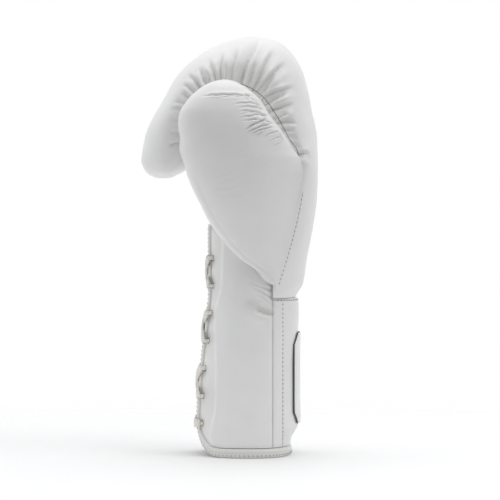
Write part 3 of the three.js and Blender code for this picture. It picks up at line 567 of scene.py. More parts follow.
def uneven(points, wavelength, seed):
    """Soft lumps all over a surface, about 1 high, the same on each run."""
    waves = np.random.default_rng(seed)
    total = np.zeros(points.shape[:-1])
    for _ in range(STEADY_WAVES):
        direction = unit(waves.normal(size=3)) * waves.uniform(0.6, 1.5)
        phase = waves.uniform(0, 2 * math.pi)
        total += np.sin(points @ direction * (2 * math.pi / wavelength) + phase)
    return total / math.sqrt(STEADY_WAVES)


def lumps(points, sizes, seed):
    """The leather's lumps and its finer waves."""
    high, long, fine, short = sizes
    return high * uneven(points, long, seed) + fine * uneven(points, short, seed + 1)


def surface_normals(points, closed):
    """Outward or inward directions of a grid of points. closed says that its columns meet."""
    down = np.gradient(points, axis=0)
    if closed:
        across = np.roll(points, -1, axis=1) - np.roll(points, 1, axis=1)
    else:
        across = np.gradient(points, axis=1)
    return unit(np.cross(across, down))


def segment_distance(x, z, start, end):
    """Distance from places in the XZ plane to a line between two of them, and how far along it they lie."""
    run = (end[0] - start[0], end[1] - start[1])
    along = ((x - start[0]) * run[0] + (z - start[1]) * run[1]) / (run[0] ** 2 + run[1] ** 2)
    held = np.clip(along, 0, 1)
    away = np.hypot(x - start[0] - held * run[0], z - start[1] - held * run[1])
    return away, along


# The cuff


def cuff_surface(size, z, degrees, inset=0.0):
    """Points of the cuff's outside, drawn in by an inset. degrees go round it from its back."""
    level = z / size.cuff_length
    row = read_rows(CUFF, "level", level)
    turn = signed(degrees)
    drawn = inset
    for dent in records(CUFF_DENTS):
        away = ((turn - dent["turn"]) / dent["wide"]) ** 2 + ((level - dent["level"]) / dent["high"]) ** 2
        drawn = drawn + dent["deep"] * size.cuff_wall * np.exp(-away)
    c, s = cos_sin(degrees)
    power = 2 / CUFF_SQUARENESS
    x = (np.where(c > 0, row["back"], row["palm"]) * size.cuff_depth - drawn) * bent(c, power)
    y = (row["half"] * size.cuff_width - drawn) * bent(s, power)
    return spread(x, y, z)


def cuff_places(size, distance, z, inset):
    """Points of the cuff by their distance along the leather from the middle of the slit, negative
    towards the thumb, and the directions out of the leather there."""
    distance, z = np.broadcast_arrays(np.asarray(distance, float), np.asarray(z, float))
    shape = distance.shape
    distance, z = distance.ravel(), z.ravel()
    half = cuff_surface(size, z[:, None], np.linspace(180, 360, OUTLINE_STEPS + 1)[None, :], inset)
    step = np.linalg.norm(np.diff(half, axis=1), axis=-1)
    run_length = np.concatenate([np.zeros((len(z), 1)), np.cumsum(step, axis=1)], axis=1)
    away = np.clip(np.abs(distance), 0, run_length[:, -1])
    i = np.clip((run_length[:, 1:] < away[:, None]).sum(1), 0, OUTLINE_STEPS - 1)
    n = np.arange(len(z))
    t = ((away - run_length[n, i]) / (run_length[n, i + 1] - run_length[n, i]))[:, None]
    tangent = np.gradient(half, axis=1)
    point = mix(half[n, i], half[n, i + 1], t)
    run = unit(mix(tangent[n, i], tangent[n, i + 1], t))
    outward = np.stack([run[:, 1], -run[:, 0], 0 * t[:, 0]], -1)
    side = np.where(distance > 0, -1.0, 1.0)
    point[:, 1] *= side
    outward[:, 1] *= side
    return point.reshape(*shape, 3), outward.reshape(*shape, 3)


def half_round(size, z, inset=0.0):
    """Length of the leather from the middle of the slit to the middle of the back, at one height."""
    half = cuff_surface(size, np.array([[z]]), np.linspace(180, 360, OUTLINE_STEPS + 1)[None, :], inset)
    return float(np.linalg.norm(np.diff(half[0], axis=0), axis=-1).sum())


def wrist_line(size, shift=0.0):
    """The wrist seam seen from the side: across the back, up a step, then climbing to the palm."""
    far = REACH * size.mitt_depth
    foot = size.cuff_length + shift
    step = foot + size.wrist_step
    top = step + (size.palm_top + size.side_seam) * size.wrist_slope
    return [(far, foot), (size.side_seam, foot), (size.side_seam, step), (-size.palm_top, top), (-far, top)]


def seam_distance(size, points):
    """How far points are from the wrist seam, seen from the side."""
    line = wrist_line(size)
    return np.min(
        [segment_distance(points[..., 0], points[..., 2], a, b)[0] for a, b in zip(line, line[1:])],
        axis=0,
    )


# The mitt


def mitt_sections(size, along, roll=np.zeros(0)):
    """Sections of the mitt at places along it, then those of the rounded end over the fingertips."""
    row = read_rows(MITT, "along", along)
    pocket = read_rows(POCKET, "along", along)
    turn = np.maximum(along - 1, 0) * math.pi / 2
    section = {
        "along": along,
        "x": np.full(len(along), size.curl_x),
        "z": size.cuff_length + size.hand_length * np.minimum(along, 1),
        "out_x": np.cos(turn),
        "out_z": np.sin(turn),
        "seam": row["seam"] * size.mitt_depth,
        "outer": row["outer"] * size.mitt_depth,
        "inner": row["inner"] * size.mitt_depth,
        "half": row["half"] * size.mitt_width,
        "pocket_outer": pocket["outer"] * size.mitt_depth,
        "pocket_inner": pocket["inner"] * size.mitt_depth,
        "pocket_half": pocket["half"] * size.hand_width,
    }
    end = {name: values[-1] + 0 * roll for name, values in section.items()}
    shrink = (1 - roll**FINGER_END_SQUARENESS) ** (1 / FINGER_END_SQUARENESS)
    middle = (end["outer"] + end["inner"]) / 2
    end["x"] = end["x"] - end["out_z"] * size.finger_roll * roll
    end["z"] = end["z"] + end["out_x"] * size.finger_roll * roll
    end["seam"] = mix(end["seam"], middle, roll * roll)
    end["outer"] = middle + (end["outer"] - middle) * shrink
    end["inner"] = middle + (end["inner"] - middle) * shrink
    end["half"] = end["half"] - size.side_round * (1 - shrink)
    return {name: np.concatenate([section[name], end[name]])[:, None] for name in section}


def placed(section, distance, y):
    """Points of sections at a distance from the centre of the curl and at a place across the glove."""
    return spread(
        section["x"] + section["out_x"] * distance, y, section["z"] + section["out_z"] * distance
    )


def gather_depth(size, section, height, table, seed):
    """How deep the gathers of one side press the leather. height is 0 at the seam and 1 at the crown.

    Each crease is sharp along its middle with the padding swelling beside it, and short puckers lie
    between the creases where the stitches draw the leather in."""
    rng = np.random.default_rng(seed)
    along = section["along"]
    low = section["seam"]
    turn = np.maximum(along - 1, 0) * math.pi / 2
    radius = low + (section["outer"] - low) * height

    def gap_to(place):
        arc = (turn - np.maximum(place - 1, 0) * math.pi / 2) * radius
        return arc + (np.minimum(along, 1) - np.minimum(place, 1)) * size.hand_length

    depth = 0.0 * radius
    folds = records(table)
    for fold in folds:
        wave = 0.0004 * np.sin(height * rng.uniform(5, 11) + rng.uniform(0, 6))
        offset = gap_to(fold["along"] + fold["lean"] * height) + wave
        share_left = np.clip(1 - height / fold["reach"], 0, 1)
        fade = smooth(share_left / 0.35) * (0.8 + 0.2 * share_left)
        width = GATHER_WIDTH * fold["wide"] * size.mitt_width * (1 + 0.3 * height / fold["reach"])
        steeper = 1 + GATHER_TILT * rng.choice((-1, 1)) * np.tanh(offset / (0.3 * width))
        away = np.abs(offset) * steeper
        swell = bell((away - 2.1 * width) / width)
        deep = fold["deep"] * size.mitt_width
        depth = depth + deep * fade * (np.exp(-away / width) - GATHER_SWELL * swell)
    starts = [fold["along"] for fold in folds]
    for first, second in zip(starts, starts[1:]):
        for part in (rng.uniform(0.28, 0.42), rng.uniform(0.6, 0.74)):
            place = mix(first, second, part) + rng.uniform(-0.12, 0.12) * height
            fade = np.clip(1 - height / rng.uniform(*PUCKER_REACH), 0, 1)
            deep = rng.uniform(*PUCKER_DEEP)
            depth = depth + fade * sharp_line(gap_to(place), (deep, rng.uniform(*PUCKER_WIDE)))
    return depth


def both_gathers(size, section, height):
    """How deep the gathers press both sides: first the thumb's side, then the other."""
    near = gather_depth(size, section, height, THUMB_SIDE_GATHERS, 11)
    return near, gather_depth(size, section, height, FAR_SIDE_GATHERS, 29)


def valley(section, degrees):
    """How much a section is drawn in beside its seam, at an angle from the crown."""
    grown = smooth((section["along"] - 0.3) / 0.7)
    return 1 - grown * soft_line(90 - np.abs(degrees), VALLEY)


# Meshes


def mesh_object(name, points, faces):
    mesh = bpy.data.meshes.new(name)
    mesh.from_pydata((points.reshape(-1, 3) + SHIFT).tolist(), [], faces)
    piece = bpy.data.objects.new(name, mesh)
    bpy.context.scene.collection.objects.link(piece)
    return piece


def signed_volume(mesh):
    mesh.calc_loop_triangles()
    corners = np.zeros(len(mesh.loop_triangles) * 3, np.int32)
    mesh.loop_triangles.foreach_get("vertices", corners)
    co = np.zeros(len(mesh.vertices) * 3)
    mesh.vertices.foreach_get("co", co)
    a, b, c = co.reshape(-1, 3)[corners.reshape(-1, 3)].transpose(1, 0, 2)
    return float(np.einsum("ij,ij->", a, np.cross(b, c))) / 6


def loft(name, rings):
    """A closed piece through rings of points, with a fan over each end, facing outwards."""
    rows, sides = rings.shape[:2]
    index = np.arange(rows * sides).reshape(rows, sides)
    turned = np.roll(index, -1, axis=1)
    quads = np.stack([index[:-1], turned[:-1], turned[1:], index[1:]], -1).reshape(-1, 4)
    first, last = rows * sides, rows * sides + 1
    fans = [(int(b), int(a), first) for a, b in zip(index[0], turned[0])]
    fans += [(int(a), int(b), last) for a, b in zip(index[-1], turned[-1])]
    ends = np.stack([rings[0].mean(0), rings[-1].mean(0)])
    points = np.concatenate([rings.reshape(-1, 3), ends])
    piece = mesh_object(name, points, quads.tolist() + fans)
    if signed_volume(piece.data) < 0:
        piece.data.flip_normals()
    return piece


def block(name, low, high):
    """A block between two corners."""
    x0, y0, z0 = low
    x1, y1, z1 = high
    foot = [(x0, y0), (x1, y0), (x1, y1), (x0, y1)]
    return loft(name, np.array([[(x, y, z0) for x, y in foot], [(x, y, z1) for x, y in foot]]))


def below_wrist(size, shift):
    """Everything below the wrist seam, moved up by a shift."""
    far = REACH * size.mitt_depth
    outline = [(far, -far), *wrist_line(size, shift), (-far, -far)]
    return loft("below_wrist", np.array([[(x, y, z) for x, z in outline] for y in (-far, far)]))


def combine(piece, tool, operation):
    """Cuts a piece by another closed form, or keeps what both share."""
    modifier = piece.modifiers.new("combine", "BOOLEAN")
    modifier.solver = "MANIFOLD"
    modifier.operation = operation
    modifier.object = tool
    graph = bpy.context.evaluated_depsgraph_get()
    mesh = bpy.data.meshes.new_from_object(piece.evaluated_get(graph))
    piece.modifiers.clear()
    old = piece.data
    piece.data = mesh
    bpy.data.meshes.remove(old)


def discard(*tools):
    for tool in tools:
        mesh = tool.data
        bpy.data.objects.remove(tool)
        bpy.data.meshes.remove(mesh)


def cut(piece, *tools):
    """Cuts a piece by closed forms, one after another, and throws them away."""
    for tool in tools:
        combine(piece, tool, "DIFFERENCE")
    discard(*tools)


def keep(piece, tool):
    """Keeps what a piece shares with a closed form, which is thrown away."""
    combine(piece, tool, "INTERSECT")
    discard(tool)


def mark(piece, name, values):
    """Keeps a value for each point of a piece, which its material reads."""
    attribute = piece.data.attributes.new(name, "FLOAT", "POINT")
    padded = np.zeros(len(piece.data.vertices), np.float32)
    padded[: values.size] = values.ravel()
    attribute.data.foreach_set("value", padded)


def dress(piece, material, replaced=(), sharp=38.0):
    """Finishes a piece: smooth shading, its material, its body and the part that it stands for."""
    mesh = piece.data
    mesh.name = piece.name
    mesh.shade_smooth()
    mesh.set_sharp_from_angle(angle=math.radians(sharp))
    mesh.materials.clear()
    mesh.materials.append(material)
    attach(piece, BODY)
    if replaced:
        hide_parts(*replaced)


# Forms that cut the leather


def hand_hollow(size):
    """The hollow for the hand: from inside the cuff, over the knuckles and down to the fingertips."""
    along = np.concatenate([np.linspace(-0.2, 1, 9), np.linspace(1.1, 3.03, 24)])
    section = mitt_sections(size, along)
    c, s = (bent(part, 2 / POCKET_SQUARENESS) for part in cos_sin(all_round(28)))
    middle = (section["pocket_outer"] + section["pocket_inner"]) / 2
    thick = (section["pocket_outer"] - section["pocket_inner"]) / 2
    rings = placed(section, middle + thick * c, section["pocket_half"] * s)
    low, high = (
        cuff_surface(size, levels[:, None] * size.cuff_length, all_round(56), size.cuff_wall)
        for levels in (np.linspace(-0.08, 1.12, 9), np.linspace(1.05, 1.52, 6))
    )
    high[..., 0] = np.minimum(high[..., 0], size.side_seam - size.cuff_wall)
    return loft("hand_pocket", rings), loft("cuff_hollow", low), loft("palm_hollow", high)


def thumb_height(size, level):
    """Heights of places along the thumb."""
    return size.cuff_length + size.thumb_base + size.thumb_length * level


def thumb_surface(size, level, degrees, margin=0.0):
    """Points of the thumb's outside, grown by a margin."""
    row = read_rows(THUMB, "level", level)
    c, s = cos_sin(degrees)
    front = np.where(c > 0, row["blend"], THUMB_SQUARENESS)
    power = 2 / np.where(s > 0, front, row["heel"])
    swell = np.where(s > 0, row["front"], row["rear"]) * size.thumb_reach + margin
    x = row["mid"] * size.thumb_width + (row["half"] * size.thumb_width + margin) * bent(c, power)
    y = -row["axis"] * size.thumb_reach - swell * bent(s, power)
    return spread(x, y, thumb_height(size, level))


def thumb_seat(size):
    """The room in the leather behind the thumb, a little smaller than the thumb, which fills it."""
    margin = -0.0006
    level = np.concatenate([np.linspace(0, 0.9, 46), np.linspace(0.92, 1, 12)])[:, None]
    rings = thumb_surface(size, level, all_round(72), margin)
    rings[0, :, 2] -= margin
    rings[-1, :, 2] += margin
    return loft("thumb_seat", rings)


def thumb_stall(size):
    """The hollow inside the thumb."""
    row = read_rows(STALL, "level", np.linspace(0.2, 0.88, 16)[:, None])
    c, s = cos_sin(all_round(24))
    radius = row["bore"] * size.thumb_bore / 2
    x = row["mid"] * size.thumb_width + radius * c
    y = -row["axis"] * size.thumb_reach + radius * s
    return loft("thumb_stall", spread(x, y, thumb_height(size, row["level"])))


# The padded back and the palm


def pad_stations():
    straight = np.linspace(-0.2, 0.86, 88)
    curl = np.linspace(0.87, 3.167, 340)
    return np.concatenate([straight, curl]), np.sin(np.linspace(0.05, math.pi / 2 - 0.03, 22))


def away_from(section, surface, outward_distance, side):
    """Directions out of a surface of the mitt. outward_distance is 1 for the back and -1 for the palm."""
    normal = surface_normals(surface, closed=False)
    flat = {**section, "x": 0, "z": 0}
    outward = placed(flat, outward_distance + 0 * side, 0 * side)
    outward[..., 1] = np.sign(side)
    return normal * np.sign(dot(normal, outward))[..., None]


def held_beyond(section, surface, limit, direction):
    """Moves points of a surface that have crossed the seam's plane back to it."""
    out = np.stack([section["out_x"], 0 * section["out_x"], section["out_z"]], -1)
    centre = placed(section, 0 * limit, 0 * limit)
    away = dot(surface - centre, out)
    return surface + out * (direction * np.maximum(direction * (limit - away), 0))[..., None]


def padded_back(size, material):
    section = mitt_sections(size, *pad_stations())
    degrees = np.linspace(-90, 90, 151)[None, :]
    c, s = cos_sin(degrees)
    low = section["seam"] + size.seam_gap / 2
    height = bent(np.maximum(c, 0), 2 / PAD_SQUARENESS)
    side = bent(s, 2 / PAD_SQUARENESS)
    distance = low + np.maximum(section["outer"] - low, 0) * height
    outside = placed(section, distance, section["half"] * valley(section, degrees) * side)
    normal = away_from(section, outside, 1, side)
    press = np.where(degrees < 0, *both_gathers(size, section, height))
    relief = lumps(outside, BACK_LUMPS, 5) - soft_line(seam_distance(size, outside), WRIST_DIP) - press
    outside = held_beyond(section, outside + normal * relief[..., None], low, 1)
    middle = placed(section, low, 0 * low)
    piece = loft("padded_back", np.concatenate([outside, middle], axis=1))
    # the fold mark darkens the leather in the gathers: painted shade
    mark(piece, "fold", np.concatenate([np.clip(press / GATHER_FULL, 0, 1), 0 * low], axis=1))
    cut(piece, *hand_hollow(size), below_wrist(size, size.clearance / 2))
    dress(piece, material, ["back_pad"])


def palm_leather(size, material):
    along, roll = pad_stations()
    section = mitt_sections(size, along[::2], roll)
    c, s = cos_sin(np.linspace(90, -90, 91)[None, :])
    high = section["seam"] - size.seam_gap / 2
    depth = bent(np.maximum(c, 0), 2 / PALM_SQUARENESS)
    drawn = np.where(s < 0, *both_gathers(size, section, 0 * high))
    edge = section["half"] * valley(section, 90) - drawn
    distance = high - np.maximum(high - section["inner"], 0) * depth
    across = bent(s, 2 / PALM_SQUARENESS)
    outside = placed(section, distance, edge * (1 - 0.1 * depth) * across)
    relief = lumps(outside, PALM_LUMPS, 8) - soft_line(seam_distance(size, outside), WRIST_DIP)
    normal = away_from(section, outside, -1, across)
    outside = held_beyond(section, outside + normal * relief[..., None], high, -1)
    middle = placed(section, high, 0 * high)
    piece = loft("palm_leather", np.concatenate([outside, middle], axis=1))
    # the fold mark darkens the leather where it dips: painted shade
    mark(piece, "fold", np.concatenate([np.clip(-relief / SHALLOW_FULL, 0, 1), 0 * high], axis=1))
    cut(piece, *hand_hollow(size), thumb_seat(size), below_wrist(size, size.clearance / 2))
    dress(piece, material, ["palm_panel"])


def back_side(size, x, z):
    """How far the side of the padded back stands from the centre plane, below the curl."""
    row = read_rows(MITT, "along", np.clip((z - size.cuff_length) / size.hand_length, 0, 1))
    low = row["seam"] * size.mitt_depth
    height = np.clip((x - size.curl_x - low) / (row["outer"] * size.mitt_depth - low), 0, 0.999)
    return row["half"] * size.mitt_width * (1 - height**PAD_SQUARENESS) ** (1 / PAD_SQUARENESS)


def thumb_leather(size, level, degrees):
    """The thumb's surface as it looks: smooth over its middle, its edge lapped over the back's leather."""
    points = thumb_surface(size, level, degrees)
    row = read_rows(THUMB, "level", level)
    c, s = cos_sin(degrees)
    lapped = (c > 0) & (s >= 0)
    soft = np.maximum(row["blend"], 1.9)
    round_off = mix(1.0, 1 / 2.2, np.clip((row["blend"] - 1.3) / 0.9, 0, 1))
    width = np.clip(c, 0, 1)
    swell = row["front"] * size.thumb_reach * np.maximum(1 - width**soft, 0) ** round_off
    x = np.where(lapped, (row["mid"] + row["half"] * width) * size.thumb_width, points[..., 0])
    reach = np.where(lapped, row["axis"] * size.thumb_reach + swell, -points[..., 1])
    z = points[..., 2]
    # the leather of the outer face comes to rest on the back of the hand beside it
    over = back_side(size, x, z) + LAP_HEIGHT
    gap = reach - over
    rested = over + (gap + np.sqrt(gap**2 + LAP_EASE**2)) / 2
    share_here = smooth((LAP_TOP - z) / LAP_FADE) * smooth(level / 0.02) * np.where(s >= 0, 1, 0)
    to_edge = (x / size.thumb_width - row["mid"]) / np.maximum(0.6 * row["half"], 0.01)
    return np.stack([x, -mix(reach, rested, share_here * smooth(to_edge)), z], -1)


def padded_thumb(size, material):
    rounded_top = 1 - 0.07 * (1 - np.linspace(0.03, 1, 36)) ** 1.6
    level = np.concatenate([np.linspace(0, 0.93, 330), rounded_top])[:, None]
    front, rear = np.linspace(0, 180, 190), np.linspace(180, 360, 71)[1:-1]
    degrees = np.concatenate([front, rear])[None, :]
    outside = thumb_leather(size, level, degrees)
    relief = lumps(outside, THUMB_LUMPS, 3)
    facing = smooth(np.sin(np.radians(degrees)) * 5)
    x, z = outside[..., 0], outside[..., 2]
    creased = 0 * relief
    for crease in records(THUMB_CREASES):
        start, end = crease_ends(crease, size.thumb_width, size.thumb_length, thumb_height(size, 0))
        _, place = segment_distance(x, z, start, end)
        bow = crease["bow"] * size.thumb_length * (1 - np.clip(2 * place - 1, -1, 1) ** 2)
        wave = 0.00018 * np.sin(x * 700 + 60 * crease["x"])
        away, place = segment_distance(x, z - bow + wave, start, end)
        wide = crease["wide"] * size.thumb_width
        deep = CREASE_DEPTH * crease["deep"] * size.cuff_wall
        fade = smooth(place * 2.2 + 0.15) * smooth((1.1 - place) * 4)
        line = np.exp(-away / (0.42 * wide))
        shoulder = bell((away - 1.5 * wide) / (0.8 * wide))
        creased = creased + facing * fade * deep * (CREASE_SHOULDER * shoulder - line)
    # the welt along the lower edge, and the seam round the widest line
    row = read_rows(THUMB, "level", level)
    from_edge = x - (row["mid"] - row["half"]) * size.thumb_width
    low_part = smooth(level / 0.03) * smooth((0.56 - level) / 0.08)
    welt = sharp_line(from_edge - WELT_PLACE, WELT) - soft_line(from_edge - WELT_DIP_PLACE, WELT_DIP)
    turn = np.abs((degrees + 90) % 180 - 90)
    seam = THUMB_SEAM_DIP * np.exp(-turn / 1.2) * smooth((level - 0.4) / 0.15)
    relief = relief + creased - facing * low_part * welt - seam
    normal = surface_normals(outside, closed=True)
    core = outside.mean(axis=1, keepdims=True)
    normal *= np.sign(dot(normal, outside - core).sum())
    piece = loft("padded_thumb", outside + normal * relief[..., None])
    # the fold mark darkens the creases and the seam: painted shade
    mark(piece, "fold", np.clip((seam - creased) / CREASE_FULL, 0, 1))
    cut(piece, *hand_hollow(size), thumb_stall(size))
    dress(piece, material, ["thumb_outer", "thumb_inner"])


# The cuff


def tape_edge(size, trim):
    """Distance from the middle of the slit to the leather of a flap."""
    return trim.slit_gap / 2 + trim.tape_height + size.clearance


def slit_cutter(size, trim):
    """What is cut away between the two flaps: a band over the slit that widens round its lower corners."""
    edge = tape_edge(size, trim)
    low = trim.tape_height + size.clearance
    turn = np.radians(np.linspace(270, 180, 25))
    corner = trim.corner_radius
    half = np.concatenate([[edge + corner], edge + corner * (1 + np.cos(turn)), np.full(40, edge)])
    rise = np.concatenate([
        [low - size.cuff_wall],
        low + corner * (1 + np.sin(turn)),
        np.linspace(low + corner, 1.7 * size.cuff_length, 41)[1:],
    ])
    across = np.linspace(-1, 1, 61)[None, :] * half[:, None]
    point, outward = cuff_places(size, across, rise[:, None], size.cuff_wall / 2)
    sheets = [point + outward * size.cuff_wall, (point - outward * size.cuff_wall)[:, ::-1]]
    return loft("slit_cutter", np.concatenate(sheets, axis=1))


def eyelet_levels(trim):
    return trim.eyelet_first + trim.eyelet_pitch * np.arange(trim.eyelet_rows)


def eyelet_bore(size, trim, side, z):
    line = side * (tape_edge(size, trim) + trim.eyelet_inset)
    point, outward = cuff_places(size, line, z, size.cuff_wall / 2)
    across = unit(np.cross(outward, [0, 0, 1]))
    c, s = cos_sin(all_round(20).T)
    circle = (c * across + s * np.array([0, 0, 1])) * trim.eyelet_diameter / 2
    reach = 2 * size.cuff_wall
    return loft("eyelet", np.stack([point + circle - outward * reach, point + circle + outward * reach]))


def cuff_tube(size, trim):
    """The whole padded cuff, before its panels are cut apart."""
    z = np.linspace(-0.01, 1.6, 236)[:, None] * size.cuff_length
    degrees = all_round(330)
    outside = cuff_surface(size, z, degrees)
    level = z / size.cuff_length
    # the panels dip into their side seams, the wrist seam and the stitched line
    x = outside[..., 0]
    relief = lumps(outside, CUFF_LUMPS, 21) - sharp_line(x - size.side_seam, SIDE_SEAM_DIP)
    relief = relief - soft_line(seam_distance(size, outside), CUFF_TOP_DIP)
    relief = relief - sharp_line(x - size.side_seam - size.stitch_inset, STITCH_DIP)
    # the padding ends in a soft ridge beside the eyelets
    ridge = read_rows(PADDING_RIDGE, "level", level)["x"] * size.cuff_depth
    flat = smooth((ridge - x) / 0.0035 + 0.3)
    relief = relief - EYELET_STRIP * flat + soft_line(x - ridge - 0.0015, PADDING_ROLL)
    # the leather tucks under the tape
    relief = relief - soft_line(z - trim.tape_height, TAPE_TUCK)
    # small folds under the wrist
    for fold in records(CUFF_FOLDS):
        start, end = crease_ends(fold, size.cuff_depth, size.cuff_length)
        away, place = segment_distance(x, z + 0 * x, start, end)
        wide, deep = fold["wide"] * size.cuff_depth, fold["deep"] * size.cuff_wall
        fade = smooth(place * 2.5 + 0.3) * smooth((1.15 - place) * 5)
        line = np.exp(-away / (0.5 * wide)) - 0.3 * bell((away - 1.6 * wide) / (0.8 * wide))
        relief = relief - (signed(degrees) < 0) * fade * deep * line
    normal = surface_normals(outside, closed=True)
    normal *= np.sign((normal[..., :2] * outside[..., :2]).sum())
    piece = loft("cuff_tube", outside + normal * relief[..., None])
    # the fold mark darkens the dips in the leather, less on the eyelet strip: painted shade
    mark(piece, "fold", np.clip(-relief / SHALLOW_FULL - 0.6 * flat, 0, 1))
    rise = np.linspace(-0.1, 1.7, 14)[:, None] * size.cuff_length
    inside = cuff_surface(size, rise, all_round(60), size.cuff_wall)
    cut(piece, loft("cuff_inside", inside), thumb_seat(size))
    keep(piece, below_wrist(size, -size.clearance / 2))
    return piece


def cuff_panel(size, trim, tube, name, low, high):
    """The part of the cuff above the tape on the hem, between two corners in plan."""
    piece = tube.copy()
    piece.data = tube.data.copy()
    piece.name = name
    bpy.context.scene.collection.objects.link(piece)
    foot, top = trim.tape_height + size.clearance, 3 * size.cuff_length
    keep(piece, block("panel_block", (*low, foot), (*high, top)))
    return piece


def cuff_pieces(size, trim, material):
    tube = cuff_tube(size, trim)
    deep, wide, gap = size.cuff_depth, size.cuff_width, size.clearance / 2
    back = cuff_panel(size, trim, tube, "cuff_back_panel", (size.side_seam + gap, -wide), (deep, wide))
    dress(back, material, ["cuff_back"])
    slit = slit_cutter(size, trim)
    for side, name, node in (
        (-1, "thumb_side_flap", "cuff_thumb_side"),
        (1, "little_finger_flap", "cuff_little_finger_side"),
    ):
        low, high = (-deep, min(0, side * wide)), (size.side_seam - gap, max(0, side * wide))
        flap = cuff_panel(size, trim, tube, name, low, high)
        combine(flap, slit, "DIFFERENCE")
        cut(flap, *(eyelet_bore(size, trim, side, z) for z in eyelet_levels(trim)))
        dress(flap, material, [node])
    discard(slit, tube)


def tape_route(size, trim):
    """The tape's line from the top of one slit edge, round the hem, to the top of the other."""
    line = trim.slit_gap / 2 + trim.tape_height / 2
    top = wrist_line(size)[3][1] - 4 * size.clearance
    middle = trim.tape_height / 2
    radius = trim.corner_radius + trim.tape_height / 2
    turn = np.radians(np.linspace(180, 270, 44))
    round_length = half_round(size, middle, size.cuff_wall / 2)
    distance = np.concatenate([
        np.full(130, line),
        line + radius + radius * np.cos(turn)[1:],
        np.linspace(line + radius, round_length, 91)[1:],
    ])
    rise = np.concatenate([
        np.linspace(top, middle + radius, 130),
        middle + radius + radius * np.sin(turn)[1:],
        np.full(90, middle),
    ])
    return np.concatenate([distance, -distance[-2::-1]]), np.concatenate([rise, rise[-2::-1]])


def tape_frame(size, trim):
    """The tape's middle line, the directions out of the leather and in from its edge, and how far the
    tape stands out."""
    point, outward = cuff_places(size, *tape_route(size, trim), size.cuff_wall / 2)
    inwards = unit(np.cross(outward, unit(np.gradient(point, axis=0))))
    return point, outward, inwards, size.cuff_wall / 2 + trim.tape_proud


def edge_binding(size, trim, material):
    """The tape folded over the edges: a rounded strip with a stitched groove, flat underneath."""
    point, outward, inwards, thick = tape_frame(size, trim)
    high = trim.tape_height / 2
    c, s = cos_sin(all_round(48))
    x, y = bent(c, 0.5), bent(s, 0.62)
    along = length_along(point)
    # the strip's raw edge is its inner one, and a groove runs beside it
    groove = bell((y + 0.05) / 0.13)
    pull = 1 + 0.35 * np.sin(along * 2 * math.pi / trim.stitch_pitch)
    roll = 0.07 * smooth(y * 2)
    sunk = np.abs(c) * (roll + 0.09 * groove * pull + 0.01 * np.sin(along * 2 * math.pi / 0.017))
    rings = (
        point[:, None]
        + outward[:, None] * (x * thick * (1 - sunk))[..., None]
        + inwards[:, None] * (y * high)[..., None]
    )
    piece = loft("edge_binding", rings)
    # the fold mark darkens the stitched groove: painted shade
    mark(piece, "fold", np.broadcast_to(groove, rings.shape[:2]))
    keep(piece, below_wrist(size, -size.clearance / 2))
    dress(piece, material, ["edge_tape"])


# The lace


def lace_stops(size, trim, side):
    """Where one half of the lace passes: distance from the slit, height, how far outside the wall's
    middle it lies, and how flat it is, with 1 flat and 0 round in an eyelet."""
    gap, thick = size.clearance, trim.lace_thickness
    stand = size.cuff_wall / 2 + thick * 0.9
    over_tape = size.cuff_wall / 2 + trim.tape_proud + 0.4 * thick
    in_slit = over_tape - 3.2 * trim.tape_proud
    lift = thick if side > 0 else 0
    line = side * (tape_edge(size, trim) + trim.eyelet_inset)
    levels = eyelet_levels(trim)
    pitch = trim.eyelet_pitch
    stops = [(line * 0.6, levels[0], over_tape, 1)]
    for i, z in enumerate(levels):
        faces = [(stand, 0.6), (-stand, 0.1)]
        if i % 2:
            faces.reverse()
        stops += [(line, z, *faces[0]), (line, z, 0, 0), (line, z, *faces[1])]
        if i % 2 == 0 and i < len(levels) - 1:
            stops.append((line, z + pitch / 2, -stand - gap, 0.9))
        elif i < len(levels) - 1:
            over = over_tape + lift * 0.1
            crossing = [(0.74, over), (0.34, in_slit + gap + lift * 0.9), (0, in_slit + lift)]
            crossing += [(-0.34, crossing[1][1]), (-0.64, over)]
            for part, off in crossing:
                stops.append((line * part, z + pitch * (1 - part) / 2, off, 1))
            line = -line
        else:
            stops.append((line * 1.3, z - trim.lace_tail / 3, -1.5 * stand, 0.9))
            stops.append((line * 1.4, z - trim.lace_tail, -1.5 * stand, 0.9))
    return stops, (0, levels[0], in_slit, 1)


def through(points, values, count):
    """A smooth curve through points, with count steps between each two, and values carried along it."""
    padded = np.concatenate([[2 * points[0] - points[1]], points, [2 * points[-1] - points[-2]]])
    knots = np.sqrt(np.linalg.norm(np.diff(padded, axis=0), axis=-1))
    path, carried = [], []
    for i in range(len(points) - 1):
        p0, p1, p2, p3 = padded[i : i + 4]
        d0, d1, d2 = knots[i : i + 3]
        m1 = (p1 - p0) / d0 - (p2 - p0) / (d0 + d1) + (p2 - p1) / d1
        m2 = (p2 - p1) / d1 - (p3 - p1) / (d1 + d2) + (p3 - p2) / d2
        t = np.linspace(0, 1, count, endpoint=False)[:, None]
        path.append(
            (2 * t**3 - 3 * t**2 + 1) * p1 + (t**3 - 2 * t**2 + t) * m1 * d1
            + (3 * t**2 - 2 * t**3) * p2 + (t**3 - t**2) * m2 * d1
        )
        carried.append(mix(values[i], values[i + 1], smooth(t[:, 0])[:, None]))
    return np.concatenate([*path, points[-1:]]), np.concatenate([*carried, values[-1:]])


